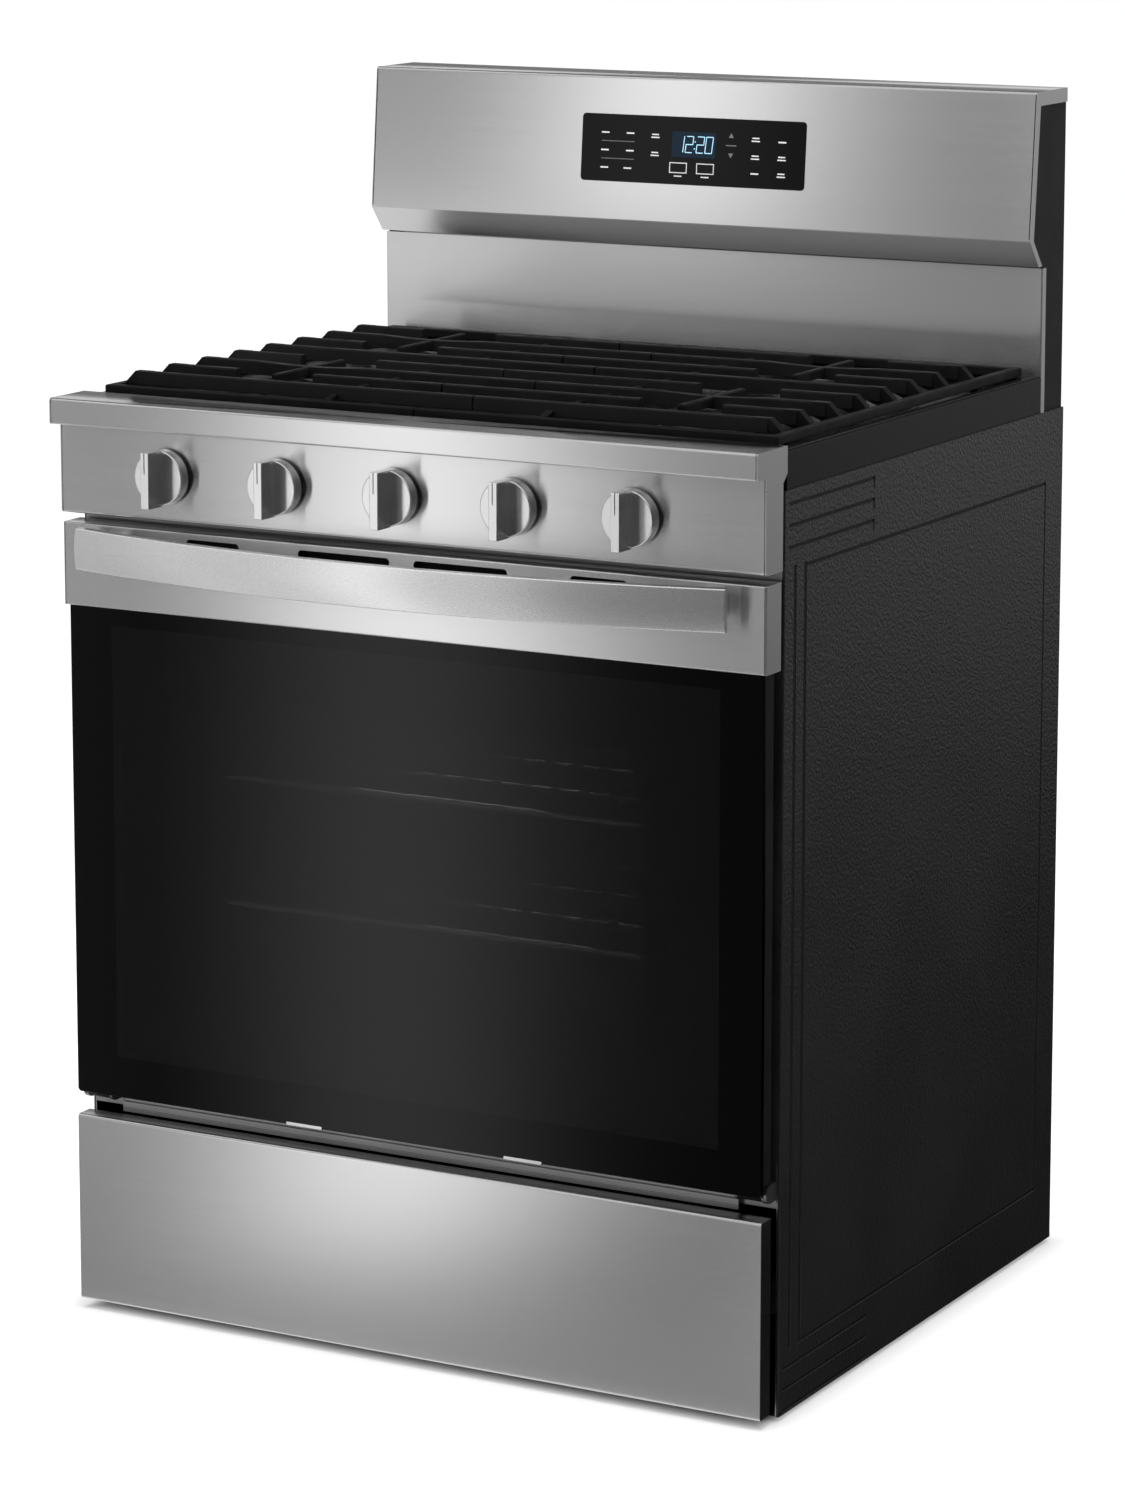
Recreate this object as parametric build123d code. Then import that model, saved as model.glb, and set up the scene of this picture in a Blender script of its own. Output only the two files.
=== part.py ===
"""Freestanding gas range, built piece by piece.

Millimetres, +Z up, front towards -Y, origin on the floor under the middle of the whole range.
"""

import os
from math import asin, atan2, cos, degrees, hypot, pi, sin, sqrt

from build123d import *

# Overall sizes
range_width = 759.0
body_depth = 670.0
handle_reach = 68.0
cooktop_height = 914.0
console_rise = 279.7
foot_drop = 5.0

# Sheet thicknesses and clearances
side_sheet = 2.5
sheet = 1.2
trim_sheet = 1.2
run_clear = 0.3
shaft_clear = 0.05
seam = 0.8
edge_round = 1.5

# Control panel and its lip
lip_overhang = 18.0
lip_depth = 60.4
lip_height = 25.2
panel_return = 46.0
cap_depth = 34.0
cap_sheet = 1.2
panel_gap = 9.5
bend_radius = 3.0

# Oven door, front to back
trim_set = 2.0
glass_set = 4.0
glass_thick = 4.0
door_depth = 29.5
door_frame_depth = 15.0
door_stand_off = 6.5
door_height = 568.8
door_lift = 23.0
door_side_inset = 3.5
trim_height = 81.3
glass_tuck = 30.0
plug_depth = 8.0
plug_inset = 14.0
window_width = 470.0
window_height = 255.0
window_lap = 10.0

# Door vent slots
slot_height = 8.2
slot_drop = 10.5
long_slot = 100.0
short_slot = 59.0
long_slot_x = 63.0
short_slot_x = 208.5

# Door handle
handle_length = 700.0
handle_height = 40.0
handle_depth = 12.0
handle_crown = 2.0
handle_bow = 45.0
handle_drop = 1.2
post_width = 26.0
post_height = 28.0
post_inset = 28.0

# Door hinge
hinge_pin_radius = 4.0
hinge_ear_radius = 9.0
hinge_barrel_radius = 8.0
hinge_outer_ear = 5.0
hinge_inner_ear = 3.0
hinge_width = 33.0
hinge_strap_height = 190.0

# Storage drawer
drawer_lift = 5.0
drawer_height = 189.5
drawer_front_depth = 20.0
tray_wall = 1.0
tray_width = 676.0
tray_depth = 545.0
tray_height = 156.0
tray_lift = 24.0
rail_height = 30.0
rail_lift = 96.0
rail_length = 500.0

# Oven cavity
oven_width = 620.0
oven_height = 460.0
oven_depth = 490.0
oven_rise = 39.5
oven_wall = 1.2
oven_flange = 18.0
insulation = 25.0
ledge_width = 12.0
ledge_thick = 5.0
ledge_pitch = 62.5
ledge_count = 5
first_ledge = 92.2
floor_level = 36.0
gasket_width = 12.0
gasket_inset = 14.0

# Oven racks
rack_wire = 4.0
rack_rod = 2.5
rack_rods = 18
rack_front_gap = 17.0
rack_depth = 423.0
lower_rack_ledge = 1
upper_rack_ledge = 3

# Convection fan
fan_radius = 80.0
fan_cover_radius = 112.0
fan_cover_depth = 42.0
fan_shaft_radius = 4.0
fan_blades = 12
motor_radius = 35.0
motor_length = 48.0

# Oven burners and lamp
oven_burner_radius = 11.0
oven_burner_length = 400.0
lamp_radius = 24.0
lamp_x = -220.0
lamp_drop = 62.0

# Cooktop deck
deck_drop = 4.0
skirt_height = 37.3
pan_depth = 8.0
pan_rim = 13.0
pan_corner = 18.0
splash_set = 57.0

# Grates
grate_pitch = 59.66
grate_bars = 8
grate_front = 39.6
grate_half_width = 344.0
grate_top = 17.5
bar_height = 13.5
bar_top_width = 9.0
bar_base_width = 12.0
rib_width = 8.0
rib_x = 117.0
rib_drop = 6.0
seam_offset = 34.0
seam_gap = 1.6
finger_gap = 87.0
finger_length = 127.0
dip_depth = 2.2
dip_length = 120.0
grate_foot = 6.0
frame_half_width = 364.0
frame_width = 10.0
frame_height = 8.5
frame_lift = 1.0
frame_front = 12.6
frame_rear = 14.0

# Cooktop burners
burner_x = 222.0
burner_bars = (2, 6)
centre_bar = 4
burner_radii = (36.0, 30.0, 33.0, 42.0)
oval_length = 150.0
oval_width = 60.0
head_height = 9.0
head_flange = 3.0
cap_height = 5.0
throat_radius = 12.0
throat_drop = 18.0
port_width = 2.0
port_height = 3.0
port_count = 24
igniter_radius = 3.0

# Knobs and gas valves
knob_count = 5
knob_pitch = 126.2
knob_shift = -5.0
knob_radius = 26.7
knob_face = 16.3
knob_depth = 39.0
knob_stand_off = 4.5
knob_travel = 3.5
grip_width = 9.3
grip_length = 53.6
step_width = 18.0
step_height = 3.0
mark_width = 1.8
mark_length = 20.0
stem_radius = 4.0
valve_radius = 12.0
valve_set = 10.0
valve_length = 30.0
plug_radius = 7.0
manifold_radius = 10.0
manifold_set = 56.0
pipe_radius = 8.0
pipe_bend = 25.0
tube_radius = 4.0
tube_bend = 8.0

# Backsplash and console
splash_gap = 2.4
splash_return = 9.0
console_width = 757.0
console_lip_rise = 26.9
console_lip_back = 22.0
console_set = 88.0
console_lean = 12.7
console_underside = 106.0
band_front = 9.0
band_top = 14.0
display_width = 257.0
display_height = 69.0
display_proud = 0.6
display_flange = 4.0
board_width = 230.0
board_height = 60.0

# Side panel pressings
emboss_top_drop = 72.7
emboss_bottom_rise = 62.3
emboss_rear_margin = 43.0
emboss_front = 46.4
line_pitch = 20.0
line_length = 177.0
line_inset = 10.0
line_tick = 8.0
line_width = 3.6
line_depth = 1.0
deep_lines = (21.6, 42.8)
deep_width = 6.0
deep_depth = 1.7

# Rear panel, regulator, cord gland, feet and screws
rear_split = 32.0
regulator_radius = 24.0
regulator_height = 60.0
regulator_lift = 105.0
regulator_x = 300.0
regulator_set = 38.0
inlet_radius = 9.1
inlet_length = 20.0
inlet_boss = 14.0
gland_x = -300.0
gland_lift = 200.0
gland_radius = 11.0
cord_radius = 5.0
foot_radius = 18.0
foot_stem = 5.0
foot_boss = 13.0
foot_x = 340.0
foot_front = 34.0
foot_rear = 38.0
screw_head = 2.0
screw_head_radius = 4.5
screw_radius = 2.0
screw_length = 8.0
screw_inset = 12.0

# Places across the width
x_half = range_width / 2
x_in = x_half - side_sheet
x_door = x_half - door_side_inset
x_console = min(console_width / 2 - trim_sheet, x_in)

# Places front to back
y_rear = (handle_reach + body_depth + screw_head) / 2 - screw_head
y_panel = y_rear - body_depth
y_lip = y_panel - lip_overhang
y_deck = y_lip + lip_depth
y_trim = y_panel + trim_set
y_glass = y_trim + glass_set
y_glass_back = y_glass + glass_thick
y_liner = y_glass_back + door_frame_depth
y_door_back = y_trim + door_depth
y_frame = y_door_back + door_stand_off
y_oven = y_frame + sheet
y_oven_back = y_oven + oven_depth
y_handle = y_panel - handle_reach
y_splash = y_rear - splash_set
y_back_in = y_rear - trim_sheet

# Places up the height
z_side = foot_drop
z_base = z_side + sheet
z_drawer = z_side + drawer_lift
z_drawer_top = z_drawer + drawer_height
z_door = z_drawer_top + door_lift
z_door_top = z_door + door_height
z_trim = z_door_top - trim_height
z_panel = z_door_top + panel_gap
z_lip_top = cooktop_height
z_lip = z_lip_top - lip_height
z_rim = z_lip_top - deck_drop
z_side_top = z_rim - skirt_height
z_pan = z_rim - pan_depth
z_oven = z_door + oven_rise
z_oven_top = z_oven + oven_height
z_knob = (z_panel + z_lip) / 2
z_console_top = cooktop_height + console_rise
z_shelf = cooktop_height + console_underside
z_console_lip = z_shelf + console_lip_rise
z_split = z_side_top - rear_split
z_grate = z_lip_top + grate_top
z_frame = z_rim + frame_lift
z_frame_top = z_frame + frame_height

# Hinge axis of the door
y_hinge = y_liner
z_hinge = z_door - run_clear

# Places worked out from the patterns
knob_places = [knob_shift + (i - (knob_count - 1) / 2) * knob_pitch for i in range(knob_count)]
bar_places = [y_deck + grate_front + i * grate_pitch for i in range(grate_bars)]
y_burner_front = bar_places[burner_bars[0]]
y_burner_rear = bar_places[burner_bars[1]]
y_burner_centre = bar_places[centre_bar]
burner_places = [
    (-burner_x, y_burner_front, burner_radii[0]),
    (-burner_x, y_burner_rear, burner_radii[1]),
    (burner_x, y_burner_rear, burner_radii[2]),
    (burner_x, y_burner_front, burner_radii[3]),
]
ledge_places = [z_oven + first_ledge + i * ledge_pitch for i in range(ledge_count)]
z_fan = (z_oven + floor_level + z_oven_top) / 2

os.makedirs("parts", exist_ok=True)


# Shared shapes


def block(x0, x1, y0, y1, z0, z1):
    """Box between two corners."""
    return Pos((x0 + x1) / 2, (y0 + y1) / 2, (z0 + z1) / 2) * Box(x1 - x0, y1 - y0, z1 - z0)


def rod_x(x0, x1, y, z, radius):
    """Round bar along X."""
    return Pos((x0 + x1) / 2, y, z) * Rot(0, 90, 0) * Cylinder(radius, x1 - x0)


def rod_y(x, y0, y1, z, radius):
    """Round bar along Y."""
    return Pos(x, (y0 + y1) / 2, z) * Rot(90, 0, 0) * Cylinder(radius, y1 - y0)


def rod_z(x, y, z0, z1, radius):
    """Round bar along Z."""
    return Pos(x, y, (z0 + z1) / 2) * Cylinder(radius, z1 - z0)


def outline(points, rounds=()):
    """Flat face in the YZ plane through corner points, with some corners rounded.

    rounds holds (index of the corner, radius) pairs.
    """
    face = make_face(Plane.YZ * Polyline(*points, close=True))
    for index, radius in rounds:
        target = Vector(0, *points[index])
        corner = min(face.vertices(), key=lambda v: (Vector(v.X, v.Y, v.Z) - target).length)
        face = fillet(corner, radius)
    return face


def along_x(face, x0, x1):
    """Extrude a YZ face between two X places."""
    return Pos(x0, 0, 0) * extrude(face, amount=x1 - x0, dir=(1, 0, 0))


def pair(piece):
    """A right-hand piece and its mirror image on the left."""
    return [piece, mirror(piece, about=Plane.YZ)]


def frame_ring(x_outer, z0, z1, width, y0, y1):
    """Flat rectangular ring standing in the XZ plane."""
    outer = block(-x_outer, x_outer, y0, y1, z0, z1)
    return outer - block(-x_outer + width, x_outer - width, y0, y1, z0 + width, z1 - width)


def save(name, *shapes):
    """Write one node, as one solid or as a group of solids."""
    solids = [solid for shape in shapes for solid in shape.solids()]
    export_step(solids[0] if len(solids) == 1 else Compound(solids), f"parts/{name}.step")


# Body of the range


def pressed_line(y0, z0, y1, z1, width, depth):
    """Tapered line pressed into the right side panel between two points."""
    length = hypot(y1 - y0, z1 - z0) + width
    turn = Rot(0, 0, degrees(atan2(z1 - z0, y1 - y0)))
    spot = Pos((y0 + y1) / 2, (z0 + z1) / 2)
    mouth = Plane.YZ.offset(x_half) * spot * turn * Rectangle(length, width)
    root = Plane.YZ.offset(x_half - depth) * spot * turn * Rectangle(length - width / 2, width / 2)
    return loft([mouth.face(), root.face()], ruled=True)


def side_panel():
    """Right side panel with its pressed lines, panel border and rear flange."""
    panel = block(x_in, x_half, y_frame, y_rear, z_side, z_side_top)
    front_edge = panel.edges().filter_by(Axis.Z).group_by(Axis.X)[-1].sort_by(Axis.Y)[0]
    panel = fillet(front_edge, edge_round)
    top = z_side_top - emboss_top_drop
    bottom = z_side + emboss_bottom_rise
    front = y_frame + emboss_front
    rear = y_rear - emboss_rear_margin
    start = y_frame + line_inset
    stop = start + line_length
    lines = [
        (front, top, rear, top, line_width, line_depth),
        (rear, top, rear, bottom, line_width, line_depth),
        (front, bottom, rear, bottom, line_width, line_depth),
    ]
    for i in range(1, 4):
        level = top + i * line_pitch
        lines.append((start, level, stop, level, line_width, line_depth))
        lines.append((stop, level, stop, level - line_tick, line_width, line_depth))
        level = bottom - i * line_pitch + line_width / 2
        lines.append((start, level, stop, level, line_width, line_depth))
    for place in deep_lines:
        lines.append((y_frame + place, top, y_frame + place, bottom, deep_width, deep_depth))
    for line in lines:
        panel -= pressed_line(*line)
    flange = block(x_in - 20, x_in, y_back_in - sheet, y_back_in, z_side + 45, z_split)
    return panel + flange


def rear_screw_places():
    """X and Z of the screws along both edges of the rear panel."""
    count = 6
    low = z_side + 60
    high = z_split - 20
    step = (high - low) / (count - 1)
    return [(side * (x_in - screw_inset), low + i * step) for side in (-1, 1) for i in range(count)]


def console_screw_places():
    """X and Z of the screws across the console back."""
    reach = x_in - 40
    levels = (z_split + 18, z_console_top - 24)
    return [(i * reach / 2, level) for i in range(-2, 3) for level in levels]


def vent_slots(x_centre, z_bottom, rows, y0, y1):
    """Column of vent slots cut through an upright sheet."""
    slot = extrude(Plane.XZ * SlotOverall(120, 6), amount=y1 - y0 + 4, both=True)
    return [Pos(x_centre, (y0 + y1) / 2, z_bottom + i * 14) * slot for i in range(rows)]


def rear_panel():
    """Back of the body with vent slots, screw holes and openings for gas and cord."""
    panel = block(-x_in, x_in, y_back_in, y_rear, z_side, z_split)
    for x in (-190, 190):
        for slot in vent_slots(x, z_split - 150, 8, y_back_in, y_rear):
            panel -= slot
    z_inlet = z_side + regulator_lift + regulator_height / 2
    panel -= rod_y(regulator_x, y_back_in, y_rear, z_inlet, inlet_boss + sheet)
    panel -= rod_y(gland_x, y_back_in, y_rear, gland_lift, gland_radius + shaft_clear)
    for x, z in rear_screw_places():
        panel -= rod_y(x, y_back_in, y_rear, z, screw_radius + shaft_clear)
    return panel


def with_rear_holes(panel, places, depth):
    """Cut screw holes through whatever lies behind the rear sheet."""
    for x, z in places:
        panel -= rod_y(x, y_rear - depth, y_rear, z, screw_radius + shaft_clear)
    return panel


def base_frame():
    """Bottom pan with turned-up edges and a boss over each levelling foot."""
    pan = block(-x_in, x_in, y_oven, y_back_in, z_side, z_base)
    edge = 38.0
    for side in (-1, 1):
        x0, x1 = sorted((side * x_in, side * (x_in - sheet)))
        pan += block(x0, x1, y_frame + 22, y_back_in, z_base, z_base + edge)
    pan += block(-x_in, x_in, y_back_in - sheet, y_back_in, z_base, z_base + edge)
    for x, y in foot_places():
        pan += rod_z(x, y, z_base, z_base + foot_boss, foot_stem + 6)
    for x, y in foot_places():
        pan -= rod_z(x, y, z_side, z_base + foot_boss, foot_stem + shaft_clear)
    return pan


def foot_places():
    """X and Y of the four levelling feet."""
    return [(side * foot_x, y) for side in (-1, 1) for y in (y_frame + foot_front, y_rear - foot_rear)]


def levelling_foot(x, y):
    """Disc foot on a stem that screws into the base."""
    disc = rod_z(x, y, 0, z_side, foot_radius)
    disc = chamfer(disc.edges().sort_by(Axis.Z)[-1], foot_drop / 3)
    return disc + rod_z(x, y, z_side, z_base + foot_boss, foot_stem)


def front_frame():
    """Sheet frame round the oven mouth, with a stepped cross-member over the drawer."""
    bottom = z_drawer_top + 5.5
    plate = block(-x_in, x_in, y_frame, y_oven, bottom, z_panel)
    plate -= block(-oven_width / 2, oven_width / 2, y_frame, y_oven, z_oven, z_oven_top)
    plate += block(-x_in, x_in, y_frame, y_oven + 60, z_panel - sheet, z_panel)
    for side in (-1, 1):
        x0, x1 = sorted((side * x_in, side * (x_in - sheet)))
        plate += block(x0, x1, y_frame, y_frame + 20, z_base, z_panel)
    steps = 3
    rise = (z_hinge - bottom - run_clear) / steps
    reach = x_half - hinge_width - door_side_inset - 3
    for i in range(steps):
        forward = door_stand_off * (steps - i) / steps
        plate += block(-reach, reach, y_frame - forward, y_frame, bottom + i * rise, bottom + (i + 1) * rise)
    return plate


# Oven


def ledges():
    """Rack ledges and floor ledges along both cavity walls."""
    x1 = oven_width / 2
    levels = ledge_places + [z_oven + floor_level - sheet]
    made = []
    for level in levels:
        bar = block(x1 - ledge_width, x1, y_oven + 12, y_oven_back - 13, level - ledge_thick, level)
        bar = fillet(bar.edges().filter_by(Axis.Y).group_by(Axis.X)[0], ledge_thick / 3)
        made += pair(bar)
    return made


def oven_cavity():
    """Enamelled oven box, open at the front, with a flange behind the front frame."""
    x1 = oven_width / 2
    wall = oven_wall
    box = block(-x1 - wall, x1 + wall, y_oven, y_oven_back + wall, z_oven - wall, z_oven_top + wall)
    grow = oven_flange
    box += block(-x1 - grow, x1 + grow, y_oven, y_oven + wall, z_oven - grow, z_oven_top + grow)
    box -= block(-x1, x1, y_oven, y_oven_back, z_oven, z_oven_top)
    for ledge in ledges():
        box += ledge
    box -= rod_y(0, y_oven_back, y_oven_back + wall, z_fan, fan_shaft_radius * 2)
    box -= rod_y(lamp_x, y_oven_back, y_oven_back + wall, z_oven_top - lamp_drop, lamp_radius / 2 + run_clear)
    return box


def oven_insulation():
    """Blanket wrapped round the cavity."""
    x1 = oven_width / 2 + oven_wall
    y0 = y_oven + oven_wall
    y1 = y_oven_back + oven_wall
    z0 = z_oven - oven_wall
    z1 = z_oven_top + oven_wall
    wrap = block(-x1 - insulation, x1 + insulation, y0, y1 + insulation, z0 - insulation, z1 + insulation)
    wrap -= block(-x1, x1, y0, y1, z0, z1)
    wrap -= rod_y(0, y1, y1 + insulation, z_fan, fan_shaft_radius * 3)
    wrap -= rod_y(lamp_x, y1, y1 + insulation, z_oven_top - lamp_drop, lamp_radius / 2 + run_clear)
    return wrap


def oven_floor():
    """Lift-out floor panel over the bake burner, slotted along its sides."""
    x1 = oven_width / 2 - run_clear
    level = z_oven + floor_level
    panel = block(-x1, x1, y_oven + 6, y_oven_back - run_clear, level - sheet, level)
    slot = extrude(Plane.XY.offset(level - sheet) * SlotOverall(40, 7), amount=sheet)
    for side in (-1, 1):
        for i in range(6):
            panel -= Pos(side * (x1 - 40), y_oven + 70 + i * 70, 0) * slot
    return panel


def oven_burner(z, hanger_top):
    """Tube burner fixed to the rear wall, with flame ports, a spreader plate and a front hanger."""
    y0 = y_oven_back - oven_burner_length
    tube = rod_y(0, y0, y_oven_back, z, oven_burner_radius)
    tube += rod_y(0, y_oven_back - 3, y_oven_back, z, oven_burner_radius * 1.4)
    tube += block(-60, 60, y0 + 20, y_oven_back - 60, z - sheet / 2, z + sheet / 2)
    z0, z1 = sorted((z, hanger_top))
    tube += block(-8, 8, y0 + 30, y0 + 30 + sheet, z0, z1)
    for i in range(16):
        place = y0 + 60 + i * 18
        for side in (-1, 1):
            x0, x1 = sorted((side * oven_burner_radius * 0.5, side * oven_burner_radius * 1.2))
            tube -= block(x0, x1, place, place + 3, z + 3, z + 5)
    return tube


def oven_lamp():
    """Domed lamp glass on the rear wall and its holder behind it."""
    z = z_oven_top - lamp_drop
    dome = rod_y(lamp_x, y_oven_back - 20, y_oven_back, z, lamp_radius)
    dome = fillet(dome.edges().filter_by(GeomType.CIRCLE).sort_by(Axis.Y)[0], 12)
    holder = rod_y(lamp_x, y_oven_back, y_oven_back + oven_wall + insulation, z, lamp_radius / 2)
    return [dome, holder]


def fan_cover():
    """Round perforated cover over the convection fan."""
    y0 = y_oven_back - fan_cover_depth
    cover = rod_y(0, y0, y_oven_back, z_fan, fan_cover_radius)
    cover = fillet(cover.edges().filter_by(GeomType.CIRCLE).sort_by(Axis.Y)[0], 3)
    cover -= rod_y(0, y0 + sheet, y_oven_back, z_fan, fan_cover_radius - sheet)
    for ring in range(1, 5):
        count = ring * 8
        for i in range(count):
            turn = 2 * pi * i / count
            reach = ring * fan_cover_radius / 5.4
            cover -= rod_y(reach * cos(turn), y0, y0 + sheet, z_fan + reach * sin(turn), 5)
    return cover


def fan_motor():
    """Fan motor on a square plate against the insulation."""
    y0 = y_oven_back + oven_wall + insulation
    plate = block(-55, 55, y0, y0 + sheet, z_fan - 55, z_fan + 55)
    motor = plate + rod_y(0, y0 + sheet, y0 + sheet + motor_length, z_fan, motor_radius)
    return motor - rod_y(0, y0, y0 + motor_length * 0.7, z_fan, fan_shaft_radius + shaft_clear)


def convection_fan():
    """Bladed fan wheel on the shaft that runs through the rear wall to the motor."""
    y1 = y_oven_back - 8
    y0 = y1 - 22
    wheel = rod_y(0, y1 - sheet, y1, z_fan, fan_radius)
    wheel += rod_y(0, y0, y1, z_fan, 14)
    for i in range(fan_blades):
        blade = block(10, fan_radius - 4, y0, y1 - 1, z_fan - 1, z_fan + 1)
        wheel += Pos(0, 0, z_fan) * Rot(0, 360 * i / fan_blades, 0) * Pos(0, 0, -z_fan) * blade
    shaft_end = y_oven_back + oven_wall + insulation + motor_length * 0.5
    return wheel + rod_y(0, y1, shaft_end, z_fan, fan_shaft_radius)


def oven_gasket():
    """Braided seal round the oven mouth, just clear of the closed door."""
    x1 = oven_width / 2 + gasket_inset + gasket_width
    grow = gasket_inset + gasket_width
    front = y_door_back + run_clear
    ring = frame_ring(x1, z_oven - grow, z_oven_top + grow, gasket_width, front, y_frame)
    return fillet(ring.edges().group_by(Axis.Y)[0], gasket_width / 4)


def oven_rack(level):
    """Wire rack: bent border wire, cross wires and a row of long rods."""
    x1 = oven_width / 2 - rack_wire - 2
    y0 = y_oven + rack_front_gap
    y1 = y0 + rack_depth
    z = level + rack_wire + run_clear
    border = RectangleRounded(2 * x1, rack_depth, 16)
    border = Pos(0, (y0 + y1) / 2, z) * border.wire()
    start = border @ 0
    section = Plane(origin=start, z_dir=border % 0) * Circle(rack_wire)
    rack = sweep(section, path=border)
    for part in (0.25, 0.5, 0.75):
        rack += rod_x(-x1, x1, y0 + part * rack_depth, z - rack_wire + rack_rod, rack_rod)
    step = 2 * x1 / (rack_rods + 1)
    for i in range(rack_rods):
        rack += rod_y(-x1 + (i + 1) * step, y0, y1, z + 0.5, rack_rod)
    return rack


# Oven door


def hinge_receiver():
    """Right hinge bracket on the front frame, with two ears and the hinge pin."""
    x1 = x_door
    x0 = x1 - hinge_width
    ears = [(x0, x0 + hinge_inner_ear), (x1 - hinge_outer_ear, x1)]
    bracket = block(x0, x1, y_frame - sheet, y_frame, z_hinge - 12, z_hinge + 25)
    for a, b in ears:
        bracket += rod_x(a, b, y_hinge, z_hinge, hinge_ear_radius)
        bracket += block(a, b, y_hinge, y_frame, z_hinge - hinge_ear_radius, z_hinge + hinge_ear_radius)
    return bracket + rod_x(x0, x1, y_hinge, z_hinge, hinge_pin_radius)


def hinge_arm():
    """Right hinge arm: a barrel on the pin and a strap inside the door frame."""
    x0 = x_door - hinge_width + hinge_inner_ear + run_clear
    x1 = x_door - hinge_outer_ear - run_clear
    y0 = y_glass_back + sheet
    arm = rod_x(x0, x1, y_hinge, z_hinge, hinge_barrel_radius)
    strap_x0 = x0 + 5
    strap_x1 = x1 - 5
    arm += block(strap_x0, strap_x1, y0, y_hinge, z_hinge, z_hinge + hinge_ear_radius + 5)
    arm += block(strap_x0, strap_x1, y0, y0 + 6, z_hinge, z_hinge + hinge_strap_height)
    return arm - rod_x(x0, x1, y_hinge, z_hinge, hinge_pin_radius + shaft_clear)


def door_frame():
    """Pressed door frame: a hollow ring open to the rear, notched for the hinges."""
    top = z_door_top - trim_sheet
    y0 = y_glass_back
    y1 = y_liner
    side = 46.0
    low = 40.0
    high = 98.0
    lip = 10.0
    ring = block(-x_door, x_door, y0, y1, z_door, top)
    ring -= block(-x_door + side, x_door - side, y0, y1, z_door + low, top - high)
    pocket = block(-x_door + sheet, x_door - sheet, y0 + sheet, y1 - sheet, z_door + sheet, top - sheet)
    mouth = block(-x_door + lip, x_door - lip, y0 + sheet, y1, z_door + lip, top - lip)
    core_x = x_door - side + sheet
    core = block(-core_x, core_x, y0, y1, z_door + low - sheet, top - high + sheet)
    ring -= (pocket + mouth) - core
    room = hinge_ear_radius + 2
    x0 = x_door - hinge_width - 2
    notch = block(x0, x_door, y0 + sheet, y1, z_door, z_hinge + room)
    for cut in pair(notch):
        ring -= cut
    return ring


def door_glass():
    """Outer door glass, tucked up behind the trim."""
    pane = block(-x_door, x_door, y_glass, y_glass_back, z_door, z_trim + glass_tuck)
    pane = fillet(pane.edges().filter_by(Axis.Y).group_by(Axis.Z)[0], 4)
    return fillet(pane.edges().group_by(Axis.Y)[0], 1)


def slot_places():
    """Centre and length of the four vent slots in the trim."""
    right = [(long_slot_x, long_slot), (short_slot_x, short_slot)]
    return right + [(-x, length) for x, length in right]


def door_trim():
    """Stainless cap over the top of the door, with vent slots and end seams."""
    cap = block(-x_half, x_half, y_trim, y_door_back, z_trim, z_door_top)
    cap = fillet(cap.edges().group_by(Axis.Y)[0], edge_round)
    inner_x = x_half - trim_sheet
    cap -= block(-inner_x, inner_x, y_trim + trim_sheet, y_door_back, z_trim, z_door_top - trim_sheet)
    cap += block(-x_door, x_door, y_trim + trim_sheet, y_glass, z_trim, z_trim + 3)
    for x, length in slot_places():
        slot = extrude(Plane.XZ * SlotOverall(length, slot_height), amount=glass_set, both=True)
        cap -= Pos(x, y_trim, z_door_top - slot_drop) * slot
    line_x = x_half - edge_round - seam
    line = block(line_x, line_x + seam, y_trim, y_trim + seam, z_trim, z_door_top)
    for cut in pair(line):
        cap -= cut
    return cap


def door_liner():
    """Enamelled inner door panel with a raised plug and a window opening."""
    x1 = x_door - 6
    z0 = z_hinge + hinge_ear_radius + 2
    z1 = z_door_top - 5
    skin = trim_sheet
    pan = block(-x1, x1, y_liner, y_door_back, z0, z1)
    px = oven_width / 2 - plug_inset
    pz0 = z_oven + plug_inset
    pz1 = z_oven_top - plug_inset
    plug = block(-px, px, y_door_back, y_door_back + plug_depth, pz0, pz1)
    plug = fillet(plug.edges().group_by(Axis.Y)[-1], 3)
    pan += plug
    pan -= block(-x1 + skin, x1 - skin, y_liner, y_door_back - skin, z0 + skin, z1 - skin)
    pan -= block(-px + skin, px - skin, y_liner, y_door_back + plug_depth - skin, pz0 + skin, pz1 - skin)
    wx = window_width / 2
    wz = (z_oven + z_oven_top) / 2
    half = window_height / 2
    opening = block(-wx, wx, y_liner, y_door_back + plug_depth, wz - half, wz + half)
    return pan - opening


def window_glass():
    """Inner window pane behind the liner opening."""
    wx = window_width / 2 + window_lap
    wz = (z_oven + z_oven_top) / 2
    half = window_height / 2 + window_lap
    y1 = y_door_back + plug_depth - trim_sheet
    return block(-wx, wx, y1 - glass_thick, y1, wz - half, wz + half)


def handle_sweep(face):
    """Turn a YZ face about the bow's upright axis, over the handle's length."""
    reach = handle_length / 2
    bow_radius = (reach**2 + handle_bow**2) / (2 * handle_bow)
    axis = Axis((0, y_handle + bow_radius, 0), (0, 0, 1))
    half_turn = degrees(asin(reach / bow_radius))
    return revolve(face.rotate(axis, -half_turn), axis=axis, revolution_arc=2 * half_turn)


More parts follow.
